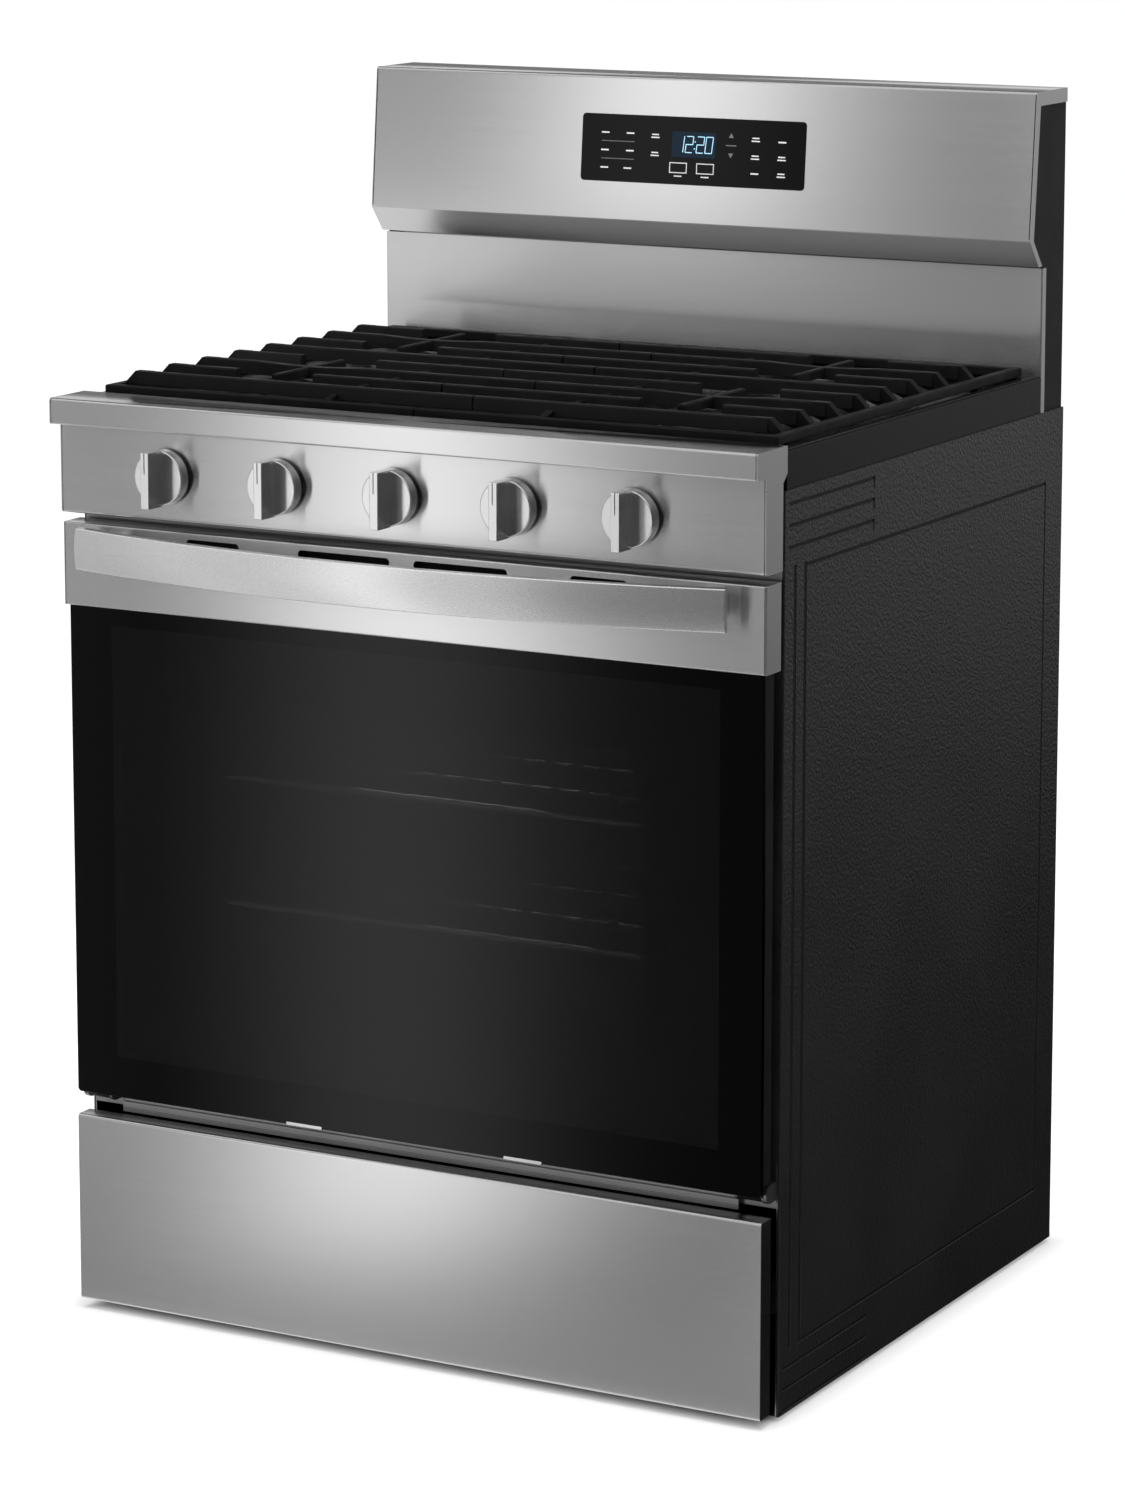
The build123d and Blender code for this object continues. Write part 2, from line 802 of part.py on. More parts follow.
def door_handle():
    """Bowed handle bar with a crowned face, and a post near each end."""
    top = z_door_top - handle_drop
    low = top - handle_height
    middle = (top + low) / 2
    back = y_handle + handle_depth
    shoulder = y_handle + handle_crown
    crown = Plane.YZ * ThreePointArc((shoulder, low), (y_handle, middle), (shoulder, top))
    rest = Plane.YZ * Polyline((shoulder, top), (back, top), (back, low), (shoulder, low))
    section = make_face(crown.edges() + rest.edges())
    bar = handle_sweep(fillet(section.vertices(), 1.2))
    ahead = y_handle - handle_bow
    room = handle_sweep(outline([(ahead, z_trim), (back, z_trim), (back, z_door_top), (ahead, z_door_top)]))
    foot = Plane.XZ.offset(-y_trim) * RectangleRounded(post_width, post_height, 6)
    post = extrude(foot, amount=handle_bow + handle_depth, dir=(0, -1, 0))
    post = Pos(handle_length / 2 - post_inset, 0, middle) * post
    return [bar, *pair(post - room)]


# Storage drawer


def drawer_front():
    """Stainless drawer skin, returned at its top and bottom."""
    y0 = y_glass
    y1 = y_glass + drawer_front_depth
    z0 = z_drawer
    z1 = z_drawer_top
    t = trim_sheet
    points = [(y1, z1), (y0, z1), (y0, z0), (y1, z0), (y1, z0 + t)]
    points += [(y0 + t, z0 + t), (y0 + t, z1 - t), (y1, z1 - t)]
    return along_x(outline(points, [(1, bend_radius), (2, bend_radius), (5, t), (6, t)]), -x_door, x_door)


def drawer_tray():
    """Black drawer body: a shallow front pan and the storage box behind it."""
    t = tray_wall
    y0 = y_glass + trim_sheet
    y1 = y_glass + drawer_front_depth + sheet
    z0 = z_drawer + trim_sheet
    z1 = z_drawer_top - trim_sheet
    x1 = x_door - 0.5
    pan = block(-x1, x1, y0, y1, z0, z1)
    pan = fillet(pan.edges().filter_by(Axis.X).group_by(Axis.Y)[0], trim_sheet)
    pan -= block(-x1 + t, x1 - t, y0 + t, y1, z0 + t, z1 - t)
    bx = tray_width / 2
    by0 = y0 + t
    by1 = by0 + tray_depth
    box = block(-bx, bx, by0, by1, tray_lift, tray_lift + tray_height)
    box -= block(-bx + t, bx - t, by0 + t, by1 - t, tray_lift + t, tray_lift + tray_height)
    return pan + box


def drawer_runner():
    """Right runner: a bar on the tray side that slides in the rail."""
    x0 = tray_width / 2
    x2 = x_in - sheet - sheet
    y0 = y_frame + 24
    y1 = y_glass + tray_depth
    middle = rail_lift + rail_height / 2
    half = rail_height / 2 - sheet - run_clear
    bar = block(x0, x2, y0, y1, middle - 4, middle + 4)
    return bar + block(x0 + 14, x2, y0, y1, middle - half, middle + half)


def drawer_rail():
    """Right rail: a channel on the side panel that holds the runner."""
    x0 = tray_width / 2 + 13
    y0 = y_frame + 22
    channel = block(x0, x_in, y0, y0 + rail_length, rail_lift, rail_lift + rail_height)
    inside = block(x0, x_in - sheet, y0, y0 + rail_length, rail_lift + sheet, rail_lift + rail_height - sheet)
    return channel - inside


# Cooktop


def cooktop_deck():
    """Black enamel cooktop: skirt, rim, sunken pan and burner holes."""
    x1 = x_half - 0.5
    y0 = y_deck
    y1 = y_splash
    inner_x = x1 - pan_rim
    inner_y0 = y0 + pan_rim
    inner_y1 = y1 - pan_rim
    deck = block(-x1, x1, y0, y1, z_side_top, z_rim)
    deck = fillet(deck.edges().group_by(Axis.Z)[-1], 3)
    width = 2 * inner_x
    depth = inner_y1 - inner_y0
    pocket = Pos(0, (inner_y0 + inner_y1) / 2, z_pan) * RectangleRounded(width, depth, pan_corner)
    pocket = extrude(pocket, amount=pan_depth, taper=-20)
    deck -= pocket
    skin = sheet
    deck -= block(-x1 + skin, x1 - skin, y0 + skin, y1 - skin, z_side_top, z_pan - skin)
    under = block(-x1 + skin, x1 - skin, y0 + skin, y1 - skin, z_pan - skin, z_rim - 4)
    grow = skin + 3
    core_x = inner_x + grow
    core = block(-core_x, core_x, inner_y0 - grow, inner_y1 + grow, z_pan - skin, z_rim)
    deck -= under - core
    for x, y, radius in burner_places:
        deck -= rod_z(x, y, z_pan - skin, z_pan, throat_radius + run_clear)
        ix, iy = igniter_place(x, y, radius)
        deck -= rod_z(ix, iy, z_pan - skin, z_pan, igniter_radius + shaft_clear)
    deck -= rod_z(0, y_burner_centre, z_pan - skin, z_pan, throat_radius + run_clear)
    ix, iy = igniter_place(0, y_burner_centre, oval_width / 2)
    return deck - rod_z(ix, iy, z_pan - skin, z_pan, igniter_radius + shaft_clear)


def igniter_place(x, y, radius):
    """Igniter beside a burner head, on the side towards the middle of the cooktop."""
    reach = radius + 3 * head_flange + igniter_radius
    side = -1 if x > 0 else 1
    return (x + side * reach, y)


def round_head(x, y, radius):
    """Round burner head with flame ports and a throat below the deck."""
    head = rod_z(x, y, z_pan, z_pan + head_flange, radius + 2 * head_flange)
    head += rod_z(x, y, z_pan + head_flange, z_pan + head_height, radius)
    head += rod_z(x, y, z_pan - throat_drop, z_pan, throat_radius)
    port = block(radius - 4, radius + 1, -port_width / 2, port_width / 2, 0, port_height)
    level = z_pan + head_height - port_height - 1
    for i in range(port_count):
        head -= Pos(x, y, level) * Rot(0, 0, 360 * i / port_count) * port
    return head


def oval_head():
    """Long oval head of the centre burner, ported along both sides."""
    y = y_burner_centre
    face = SlotOverall(oval_length, oval_width)
    wide = SlotOverall(oval_length + 4 * head_flange, oval_width + 4 * head_flange)
    turn = Pos(0, y, 0) * Rot(0, 0, 90)
    head = Pos(0, 0, z_pan) * turn * extrude(wide, amount=head_flange)
    head += Pos(0, 0, z_pan) * turn * extrude(face, amount=head_height)
    head += rod_z(0, y, z_pan - throat_drop, z_pan, throat_radius)
    level = z_pan + head_height - port_height - 1
    straight = oval_length - oval_width
    for i in range(9):
        place = y - straight / 2 + i * straight / 8
        for side in (-1, 1):
            x0, x1 = sorted((side * (oval_width / 2 - 4), side * (oval_width / 2 + 1)))
            head -= block(x0, x1, place - port_width / 2, place + port_width / 2, level, level + port_height)
    return head


def burner_cap(x, y, radius):
    """Round enamelled cap on a burner head."""
    cap = rod_z(x, y, z_pan + head_height, z_pan + head_height + cap_height, radius + 1)
    return fillet(cap.edges().sort_by(Axis.Z)[-1], cap_height / 2)


def oval_cap():
    """Long cap of the centre burner."""
    spot = Pos(0, y_burner_centre, z_pan + head_height) * Rot(0, 0, 90)
    cap = extrude(spot * SlotOverall(oval_length + 2, oval_width + 2), amount=cap_height)
    return fillet(cap.edges().group_by(Axis.Z)[-1], cap_height / 2)


def spark_igniter(x, y):
    """White ceramic igniter standing through the deck."""
    pin = rod_z(x, y, z_pan - 12, z_pan + head_height - 2, igniter_radius)
    pin += rod_z(x, y, z_pan, z_pan + head_flange / 2, igniter_radius + head_flange / 2)
    return pin + rod_z(x, y, z_pan + head_height - 2, z_pan + head_height + 1, igniter_radius / 3)


def grate_bar(x0, x1, y, top_width, base_width, z0, z1):
    """Straight cast bar along X, wider at its foot, with a rounded top."""
    points = [
        (y - base_width / 2, z0),
        (y + base_width / 2, z0),
        (y + top_width / 2, z1),
        (y - top_width / 2, z1),
    ]
    return along_x(outline(points, [(2, 2), (3, 2)]), x0, x1)


def grate_finger(x, y):
    """Short bar along Y over a burner."""
    half = bar_top_width / 2 - 1
    reach = finger_length / 2
    z0 = z_grate - bar_height + 2
    finger = block(x - half, x + half, y - reach, y + reach, z0, z_grate - dip_depth)
    return fillet(finger.edges().group_by(Axis.Z)[-1], 2)


def grate_frame(side):
    """Low outer frame of a grate: its side, front and rear rails and the feet under the side rail."""
    x_out = side * frame_half_width
    x_mid = x_out - side * frame_width / 2
    x_seam = side * seam_gap / 2 - seam_offset / 2
    y0 = y_deck + frame_front
    y1 = y_splash - frame_rear
    x_low, x_high = sorted((x_out, x_out - side * frame_width))
    frame = block(x_low, x_high, y0, y1, z_frame, z_frame_top)
    x_low, x_high = sorted((x_out, x_seam))
    frame += block(x_low, x_high, y0, y0 + frame_width, z_frame, z_frame_top)
    frame += block(x_low, x_high, y1 - frame_width, y1, z_frame, z_frame_top)
    frame = fillet(frame.edges().group_by(Axis.Z)[-1], 1.5)
    for y in (bar_places[0], bar_places[-1]):
        frame += block(x_mid - 4, x_mid + 4, y - 6, y + 6, z_pan, z_frame)
    return frame


def grate_elbow(side, y):
    """Outer end of a bar, bent down to the low frame."""
    x_top = side * grate_half_width
    x_end = side * (frame_half_width - frame_width + 2)
    z_low = z_grate - bar_height
    points = [
        (x_top - side * 16, z_low),
        (x_top - side * 16, z_grate),
        (x_top, z_grate),
        (x_end, z_frame_top),
        (x_end, z_frame),
        (x_top + side * 2, z_frame),
    ]
    face = Plane.XZ.offset(-y - bar_top_width / 2) * make_face(Polyline(*points, close=True))
    return extrude(face, amount=bar_top_width, dir=(0, -1, 0))


def grate_rib(side):
    """Rib along Y under the bars, sloping down to the front and rear rails, with its two feet."""
    y0 = y_deck + frame_front + 6
    y1 = y_splash - frame_rear - 6
    z_foot = z_pan + grate_foot
    z_top = z_grate - rib_drop
    points = [
        (y0, z_pan),
        (y0, z_frame_top),
        (bar_places[0], z_top),
        (bar_places[-1], z_top),
        (bar_places[-1] + 30, z_frame_top),
        (y1, z_frame_top),
        (y1, z_pan),
        (y1 - 14, z_pan),
        (y1 - 14, z_foot),
        (y0 + 14, z_foot),
        (y0 + 14, z_pan),
    ]
    return along_x(outline(points), side * rib_x - rib_width / 2, side * rib_x + rib_width / 2)


def grate(side):
    """One cast-iron grate; side is -1 for the left one and 1 for the right one."""
    x_outer = side * (grate_half_width - 2)
    z_low = z_grate - bar_height
    x_burner = side * burner_x
    casting = grate_frame(side) + grate_rib(side)
    for i, y in enumerate(bar_places):
        meet = seam_offset if i % 2 == 0 else -seam_offset
        x_inner = meet + side * seam_gap / 2
        spans = [sorted((x_outer, x_inner))]
        if i % 2:
            gap_out = x_burner + side * finger_gap / 2
            gap_in = x_burner - side * finger_gap / 2
            spans = [sorted((x_outer, gap_out)), sorted((gap_in, x_inner))]
        for x0, x1 in spans:
            bar = grate_bar(x0, x1, y, bar_top_width, bar_base_width, z_low, z_grate)
            if i in burner_bars:
                radius = ((dip_length / 2) ** 2 + dip_depth**2) / (2 * dip_depth)
                level = z_grate - dip_depth + radius
                bar -= rod_y(x_burner, y - bar_base_width, y + bar_base_width, level, radius)
            casting += bar
        casting += grate_elbow(side, y)
    for y in (y_burner_front, y_burner_rear):
        casting += grate_finger(x_burner, y)
    return casting


# Gas train and knobs


def control_panel():
    """Stainless control panel: face, overhanging lip, rear flange and bottom return."""
    t = sheet
    y_end = y_panel + panel_return
    points = [
        (y_deck, z_lip_top),
        (y_lip, z_lip_top),
        (y_lip, z_lip),
        (y_panel, z_lip),
        (y_panel, z_panel),
        (y_end, z_panel),
        (y_end, z_panel + t),
        (y_panel + t, z_panel + t),
        (y_panel + t, z_lip + t),
        (y_lip + t, z_lip + t),
        (y_lip + t, z_lip_top - t),
        (y_deck - t, z_lip_top - t),
        (y_deck - t, z_lip_top - lip_height),
        (y_deck, z_lip_top - lip_height),
    ]
    rounds = [(0, 1), (1, bend_radius), (2, 2), (4, bend_radius), (7, 1), (9, 0.5), (10, 1)]
    x1 = x_half - cap_sheet - seam
    panel = along_x(outline(points, rounds), -x1, x1)
    for x in knob_places:
        panel -= rod_y(x, y_panel, y_panel + t, z_knob, stem_radius + 2)
    return panel


def panel_end_cap():
    """Right end cap of the control panel, with tabs inside its face and lip."""
    y_end = y_panel + cap_depth
    points = [
        (y_deck, z_lip_top),
        (y_lip, z_lip_top),
        (y_lip, z_lip),
        (y_panel, z_lip),
        (y_panel, z_panel),
        (y_end, z_panel),
        (y_end, z_side_top + 8),
        (y_deck, z_side_top + 16),
    ]
    rounds = [(0, 1), (1, bend_radius), (2, 2), (4, bend_radius), (5, 1)]
    x1 = x_half - cap_sheet
    x0 = x1 - 15
    cap = along_x(outline(points, rounds), x1, x_half)
    cap += block(x0, x1, y_panel + sheet, y_panel + 2 * sheet, z_panel + 12, z_lip - 8)
    cap += block(x0, x1, y_lip + sheet, y_lip + 2 * sheet, z_lip + 6, z_lip_top - 6)
    return cap


def knob(x):
    """Knob turned on its own stem: skirt, stepped face, grip bar and pointer groove."""
    y_base = y_panel - knob_stand_off
    y_face = y_panel - knob_face
    y_front = y_panel - knob_depth
    skirt = rod_y(x, y_face, y_base, z_knob, knob_radius)
    skirt = fillet(skirt.edges().filter_by(GeomType.CIRCLE).sort_by(Axis.Y)[0], 1.2)
    body = skirt
    half = step_width / 2
    reach = sqrt(knob_radius**2 - half**2) - 1
    body += block(x - half, x + half, y_face - step_height, y_face, z_knob - reach, z_knob + reach)
    half = grip_width / 2
    grip = block(x - half, x + half, y_front, y_face, z_knob - grip_length / 2, z_knob + grip_length / 2)
    body += fillet(grip.edges().group_by(Axis.Y)[0], 0.8)
    top = z_knob + grip_length / 2
    body -= block(x - mark_width / 2, x + mark_width / 2, y_front, y_front + 0.9, top - mark_length, top)
    y_deep = y_face - step_height
    body -= rod_y(x, y_deep, y_base, z_knob, stem_radius + shaft_clear / 2)
    y_end = y_panel + valve_set + valve_length / 2
    stem = rod_y(x, y_deep, y_end, z_knob, stem_radius)
    return [body, stem]


def valve_plug(x):
    """Turning plug of a gas valve, bored for the sliding stem."""
    y0 = y_panel + valve_set
    y1 = y0 + valve_length - 3
    plug = rod_y(x, y0, y1, z_knob, plug_radius)
    bore_end = y0 + valve_length / 2 + knob_travel + 1
    return plug - rod_y(x, y0, bore_end, z_knob, stem_radius + shaft_clear)


def gas_line():
    """Pipe run from the regulator to the manifold."""
    y_pipe = y_panel + manifold_set
    x_pipe = x_in - 20
    y_back = y_rear - regulator_set
    z_low = z_side + regulator_lift + regulator_height
    path = FilletPolyline(
        (x_in - 60, y_pipe, z_knob),
        (x_pipe, y_pipe, z_knob),
        (x_pipe, y_back, z_knob),
        (regulator_x, y_back, z_knob),
        (regulator_x, y_back, z_low),
        radius=[16, pipe_bend * 0.6, pipe_bend * 0.6],
    )
    section = Plane(origin=path @ 0, z_dir=path % 0) * Circle(pipe_radius)
    return sweep(section, path=path)


def gas_manifold():
    """Manifold pipe behind the control panel, its two brackets and the supply pipe."""
    y = y_panel + manifold_set
    pipe = rod_x(-x_in + 45, x_in - 60, y, z_knob, manifold_radius)
    for side in (-1, 1):
        foot = side * (x_half - 80)
        pipe += block(foot - 10, foot + 10, y - 1.5, y + 1.5, z_panel, z_knob)
        pipe += block(foot - 10, foot + 10, y - 8, y + 8, z_panel, z_panel + sheet)
    return pipe + gas_line()


def burner_valve(x):
    """Valve body on the manifold, bored for its plug, with an outlet boss on top."""
    y0 = y_panel + valve_set
    y1 = y0 + valve_length
    y_pipe = y_panel + manifold_set
    valve = rod_y(x, y0, y1, z_knob, valve_radius)
    valve += block(x - 8, x + 8, y1 - 6, y_pipe, z_knob - 8, z_knob + 8)
    valve += block(x - 6, x + 6, y1 - 14, y1 - 2, z_knob, z_knob + valve_radius + 1)
    valve -= rod_y(x, y0, y1 - 3 + run_clear, z_knob, plug_radius + shaft_clear)
    return valve - rod_x(x - 20, x + 20, y_pipe, z_knob, manifold_radius)


def supply_tube(x, burner):
    """Bent tube from a valve's outlet to the throat of its burner."""
    bx, by = burner
    y_out = y_panel + valve_set + valve_length - 8
    z_out = z_knob + valve_radius + 1
    z_run = z_side_top - tube_radius - 0.7
    z_end = z_pan - throat_drop
    points = [(x, y_out, z_out), (x, y_out, z_run), (x, by, z_run), (bx, by, z_run), (bx, by, z_end)]
    if abs(bx - x) < 2 * throat_radius:
        points = [(x, y_out, z_out), (x, y_out, z_run), (x, by, z_run), (x, by, z_end)]
    path = FilletPolyline(*points, radius=tube_bend)
    section = Plane(origin=path @ 0, z_dir=path % 0) * Circle(tube_radius)
    return sweep(section, path=path)


def pressure_regulator():
    """Gas regulator on the rear, with a threaded inlet that faces out of the rear panel."""
    y = y_rear - regulator_set
    z0 = z_side + regulator_lift
    z1 = z0 + regulator_height
    middle = (z0 + z1) / 2
    body = rod_z(regulator_x, y, z0, z1, regulator_radius)
    body = fillet(body.edges().filter_by(GeomType.CIRCLE).group_by(Axis.Z)[0], 4)
    body += rod_y(regulator_x, y, y_rear, middle, inlet_boss)
    body += block(regulator_x - 12, regulator_x + 12, y - 20, y + 20, z_base, z0 + 6)
    return body - rod_y(regulator_x, y_rear - inlet_length, y_rear, middle, inlet_radius)


# Backsplash and console


def backsplash():
    """Stainless splash behind the cooktop with end returns and a joggled top."""
    x1 = x_half - 0.5
    t = trim_sheet
    top = z_shelf - splash_gap
    plate = block(-x1, x1, y_splash, y_splash + splash_return, z_side_top, top)
    plate = fillet(plate.edges().group_by(Axis.Y)[0].filter_by(Axis.Z), edge_round)
    plate -= block(-x1 + sheet, x1 - sheet, y_splash + t, y_splash + splash_return, z_side_top, top)
    reach = x_in - 4
    plate += block(-reach, reach, y_splash + t, y_splash + 19, top - t, top)
    return plate + block(-reach, reach, y_splash + 19 - t, y_splash + 19, top, z_shelf)


def console_points():
    """Corners of the console's side outline, from the shelf front round to the rear."""
    y_low = y_rear - console_set
    return [
        (y_low + console_lip_back, z_shelf),
        (y_low, z_console_lip),
        (y_low + console_lean, z_console_top),
        (y_rear, z_console_top),
        (y_rear, z_shelf),
    ]


def console_plane():
    """Plane on the middle of the leaning console face, facing out of it."""
    points = console_points()
    low = Vector(0, *points[1])
    high = Vector(0, *points[2])
    up = (high - low).normalized()
    return Plane(origin=(low + high) * 0.5, x_dir=(1, 0, 0), z_dir=(0, -up.Z, up.Y))


def console_inside():
    """Outline of the space inside the console sheet."""
    return offset(outline(console_points()), amount=-trim_sheet, kind=Kind.INTERSECTION).face()


def console_shell():
    """Stainless console: underside, leaning face, top and the narrow bands round its ends."""
    t = trim_sheet
    outer = outline(console_points(), [(1, 2), (2, bend_radius)])
    x_body = console_width / 2 - t
    shell = along_x(outer, -x_body, x_body) - along_x(console_inside(), -x_body, x_body)
    shell -= block(-x_body, x_body, y_back_in, y_rear, z_shelf, z_console_top - t)
    for cut in pair(block(x_console - t, x_body, y_splash, y_rear, z_shelf, z_shelf + t)):
        shell -= cut
    low, lip, high = console_points()[:3]
    hole = [
        (low[0] + band_front, z_shelf),
        (lip[0] + band_front, lip[1]),
        (high[0] + band_front, high[1] - band_top),
        (y_rear, high[1] - band_top),
        (y_rear, z_shelf),
    ]
    band = along_x(outer, x_body, x_body + t) - along_x(outline(hole), x_body, x_body + t)
    for end in pair(band):
        shell += end
    window = extrude(RectangleRounded(display_width + 0.3, display_height + 0.3, 4), amount=10, both=True)
    return shell - console_plane() * window


def console_back():
    """Black sheet behind the console: two sides and the rear wall in one piece."""
    t = trim_sheet
    x1 = x_console
    x0 = x1 - t
    side = along_x(console_inside(), x0, x1)
    side += block(x0, x1, y_splash + 3, y_rear, z_split + 0.5, z_shelf + t)
    wall = block(-x1, x1, y_back_in, y_rear, z_split + 0.5, z_console_top - t)
    for piece in pair(side):
        wall += piece
    for x in (-150, 150):
        for slot in vent_slots(x, z_shelf + 40, 5, y_back_in, y_rear):
            wall -= slot
    return with_rear_holes(wall, console_screw_places(), t)


def display_glass():
    """Black display glass seated in the console face."""
    plane = console_plane()
    front = extrude(RectangleRounded(display_width, display_height, 4), amount=display_proud + trim_sheet)
    front = Pos(0, 0, -trim_sheet) * front
    front = fillet(front.edges().group_by(Axis.Z)[-1], 0.4)
    wide = RectangleRounded(display_width + 2 * display_flange, display_height + 2 * display_flange, 4)
    flange = Pos(0, 0, -trim_sheet - sheet) * extrude(wide, amount=sheet)
    return plane * (front + flange)


def control_board():
    """Circuit board behind the display with its relays, transformer and plug."""
    back = -trim_sheet - sheet
    board = Pos(0, 0, back - 0.8) * Box(board_width, board_height, 1.6)
    relays = [(x, 16, 16, 12) for x in (-20, 4, 28)]
    for x, width, height, deep in [(-80, 44, 36, 24), *relays, (85, 34, 12, 10)]:
        board += Pos(x, 0, back - 1.6 - deep / 2) * Box(width, height, deep)
    return console_plane() * board


# Small fittings


def rear_screw(x, z):
    """Pan-head screw through the rear sheet."""
    head = rod_y(x, y_rear, y_rear + screw_head, z, screw_head_radius)
    head = fillet(head.edges().filter_by(GeomType.CIRCLE).sort_by(Axis.Y)[-1], 1)
    head -= block(x - 3, x + 3, y_rear + screw_head - 0.8, y_rear + screw_head, z - 0.5, z + 0.5)
    head -= block(x - 0.5, x + 0.5, y_rear + screw_head - 0.8, y_rear + screw_head, z - 3, z + 3)
    return head + rod_y(x, y_rear - screw_length, y_rear, z, screw_radius)


def cord_gland():
    """Round bushing where the supply cord enters the rear panel."""
    body = rod_y(gland_x, y_rear - 14, y_rear, gland_lift, gland_radius)
    body += rod_y(gland_x, y_rear, y_rear + screw_head, gland_lift, gland_radius + 4)
    return body - rod_y(gland_x, y_rear - 14, y_rear + screw_head, gland_lift, cord_radius)


def build():
    """Make every node and write its file."""
    side = with_rear_holes(side_panel(), rear_screw_places(), trim_sheet + sheet)
    save("side_panel_right", side)
    save("side_panel_left", mirror(side, about=Plane.YZ))
    save("rear_panel", rear_panel())
    save("base_frame", base_frame())
    save("levelling_feet", *[levelling_foot(x, y) for x, y in foot_places()])
    save("front_frame", front_frame())
    save("oven_cavity", oven_cavity())
    save("oven_insulation", oven_insulation())
    save("oven_floor", oven_floor())
    save("bake_burner", oven_burner(z_oven + floor_level / 2, z_oven))
    save("broil_burner", oven_burner(z_oven_top - 28, z_oven_top))
    save("oven_lamp", *oven_lamp())
    save("fan_cover", fan_cover())
    save("fan_motor", fan_motor())
    save("convection_fan", convection_fan())
    save("oven_gasket", oven_gasket())
    save("oven_rack_lower", oven_rack(ledge_places[lower_rack_ledge]))
    save("oven_rack_upper", oven_rack(ledge_places[upper_rack_ledge]))
    save("hinge_receivers", *pair(hinge_receiver()))
    save("hinge_arms", *pair(hinge_arm()))
    save("door_frame", door_frame())
    save("door_glass", door_glass())
    save("door_trim", door_trim())
    save("door_liner", door_liner())
    save("window_glass", window_glass())
    save("door_handle", *door_handle())
    save("drawer_front", drawer_front())
    save("drawer_tray", drawer_tray())
    save("drawer_runners", *pair(drawer_runner()))
    save("drawer_rails", *pair(drawer_rail()))
    save("cooktop_deck", cooktop_deck())
    save("burner_heads", *[round_head(*place) for place in burner_places], oval_head())
    save("burner_caps", *[burner_cap(*place) for place in burner_places], oval_cap())
    igniters = [igniter_place(*place) for place in burner_places]
    igniters.append(igniter_place(0, y_burner_centre, oval_width / 2))
    save("spark_igniters", *[spark_igniter(x, y) for x, y in igniters])
    save("grate_left", grate(-1))
    save("grate_right", grate(1))
    save("control_panel", control_panel())
    save("panel_end_caps", *pair(panel_end_cap()))
    save("gas_manifold", gas_manifold())
    save("burner_valves", *[burner_valve(x) for x in knob_places])
    feeds = [place[:2] for place in burner_places]
    feeds.insert(2, (0, y_burner_centre))
    save("supply_tubes", *[supply_tube(x, feed) for x, feed in zip(knob_places, feeds)])
    for i, x in enumerate(knob_places, start=1):
        save(f"knob_{i}", *knob(x))
        save(f"valve_plug_{i}", valve_plug(x))
    save("pressure_regulator", pressure_regulator())
    save("backsplash", backsplash())
    save("console_shell", console_shell())
    save("console_back", console_back())
    save("display_glass", display_glass())
    save("control_board", control_board())
    save("rear_screws", *[rear_screw(x, z) for x, z in rear_screw_places() + console_screw_places()])
    save("cord_gland", cord_gland())


build()
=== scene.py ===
"""Looks for the freestanding gas range: finishes for every node, small pieces, studio and camera."""

import logging
import math
from dataclasses import dataclass, field
from enum import Enum

import bmesh
import bpy
from mathutils import Matrix, Vector


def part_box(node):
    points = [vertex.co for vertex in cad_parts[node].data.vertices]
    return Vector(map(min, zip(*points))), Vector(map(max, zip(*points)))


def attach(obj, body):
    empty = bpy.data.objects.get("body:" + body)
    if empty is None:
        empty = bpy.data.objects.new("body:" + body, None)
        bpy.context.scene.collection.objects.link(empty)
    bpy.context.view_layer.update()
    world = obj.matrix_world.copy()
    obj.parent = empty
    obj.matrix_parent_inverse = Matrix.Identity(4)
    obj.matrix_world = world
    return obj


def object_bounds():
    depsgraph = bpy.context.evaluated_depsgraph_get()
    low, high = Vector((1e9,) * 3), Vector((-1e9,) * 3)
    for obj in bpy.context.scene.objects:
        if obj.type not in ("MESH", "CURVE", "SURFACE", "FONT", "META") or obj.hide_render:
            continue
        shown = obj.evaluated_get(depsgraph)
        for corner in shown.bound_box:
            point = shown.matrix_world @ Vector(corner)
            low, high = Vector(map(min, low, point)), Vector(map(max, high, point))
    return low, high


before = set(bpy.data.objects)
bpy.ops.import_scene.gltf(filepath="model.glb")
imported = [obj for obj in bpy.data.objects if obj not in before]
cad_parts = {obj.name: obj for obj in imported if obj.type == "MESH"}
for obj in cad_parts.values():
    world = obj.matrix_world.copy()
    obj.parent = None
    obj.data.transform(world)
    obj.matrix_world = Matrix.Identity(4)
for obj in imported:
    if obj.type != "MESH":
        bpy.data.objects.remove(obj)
CAD_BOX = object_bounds()

Colour = tuple[float, float, float]
Tree = bpy.types.NodeTree
Node = bpy.types.Node
Socket = bpy.types.NodeSocket
Material = bpy.types.Material
BMesh = bmesh.types.BMesh
EDGE_ROUND = 0.0003
MILLIMETRES = 1000.0
NO_FADE = -1000.0
log = logging.getLogger("gas_range")


class Texture(Enum):
    """Surface textures that the finishes choose from."""

    BRUSHED = "brushed_grain"
    PEBBLE = "pebbled_paint"
    CAST = "cast_skin"
    ENAMEL = "enamel_speckle"
    SATIN = "satin_smudge"
    FIBRE = "fibre_strands"


@dataclass(frozen=True)
class Finish:
    """One surface finish: plain shader values plus how strongly its texture shows."""

    name: str
    colour: Colour
    roughness: float
    texture: Texture
    scale: float = 1.0
    metallic: float = 0.0
    specular: float = 0.5
    anisotropy: float = 0.0
    tone_depth: float = 0.1
    rough_depth: float = 0.06
    bump: float = 0.1
    bump_distance: float = 0.0004
    edge_radius: float = 0.0


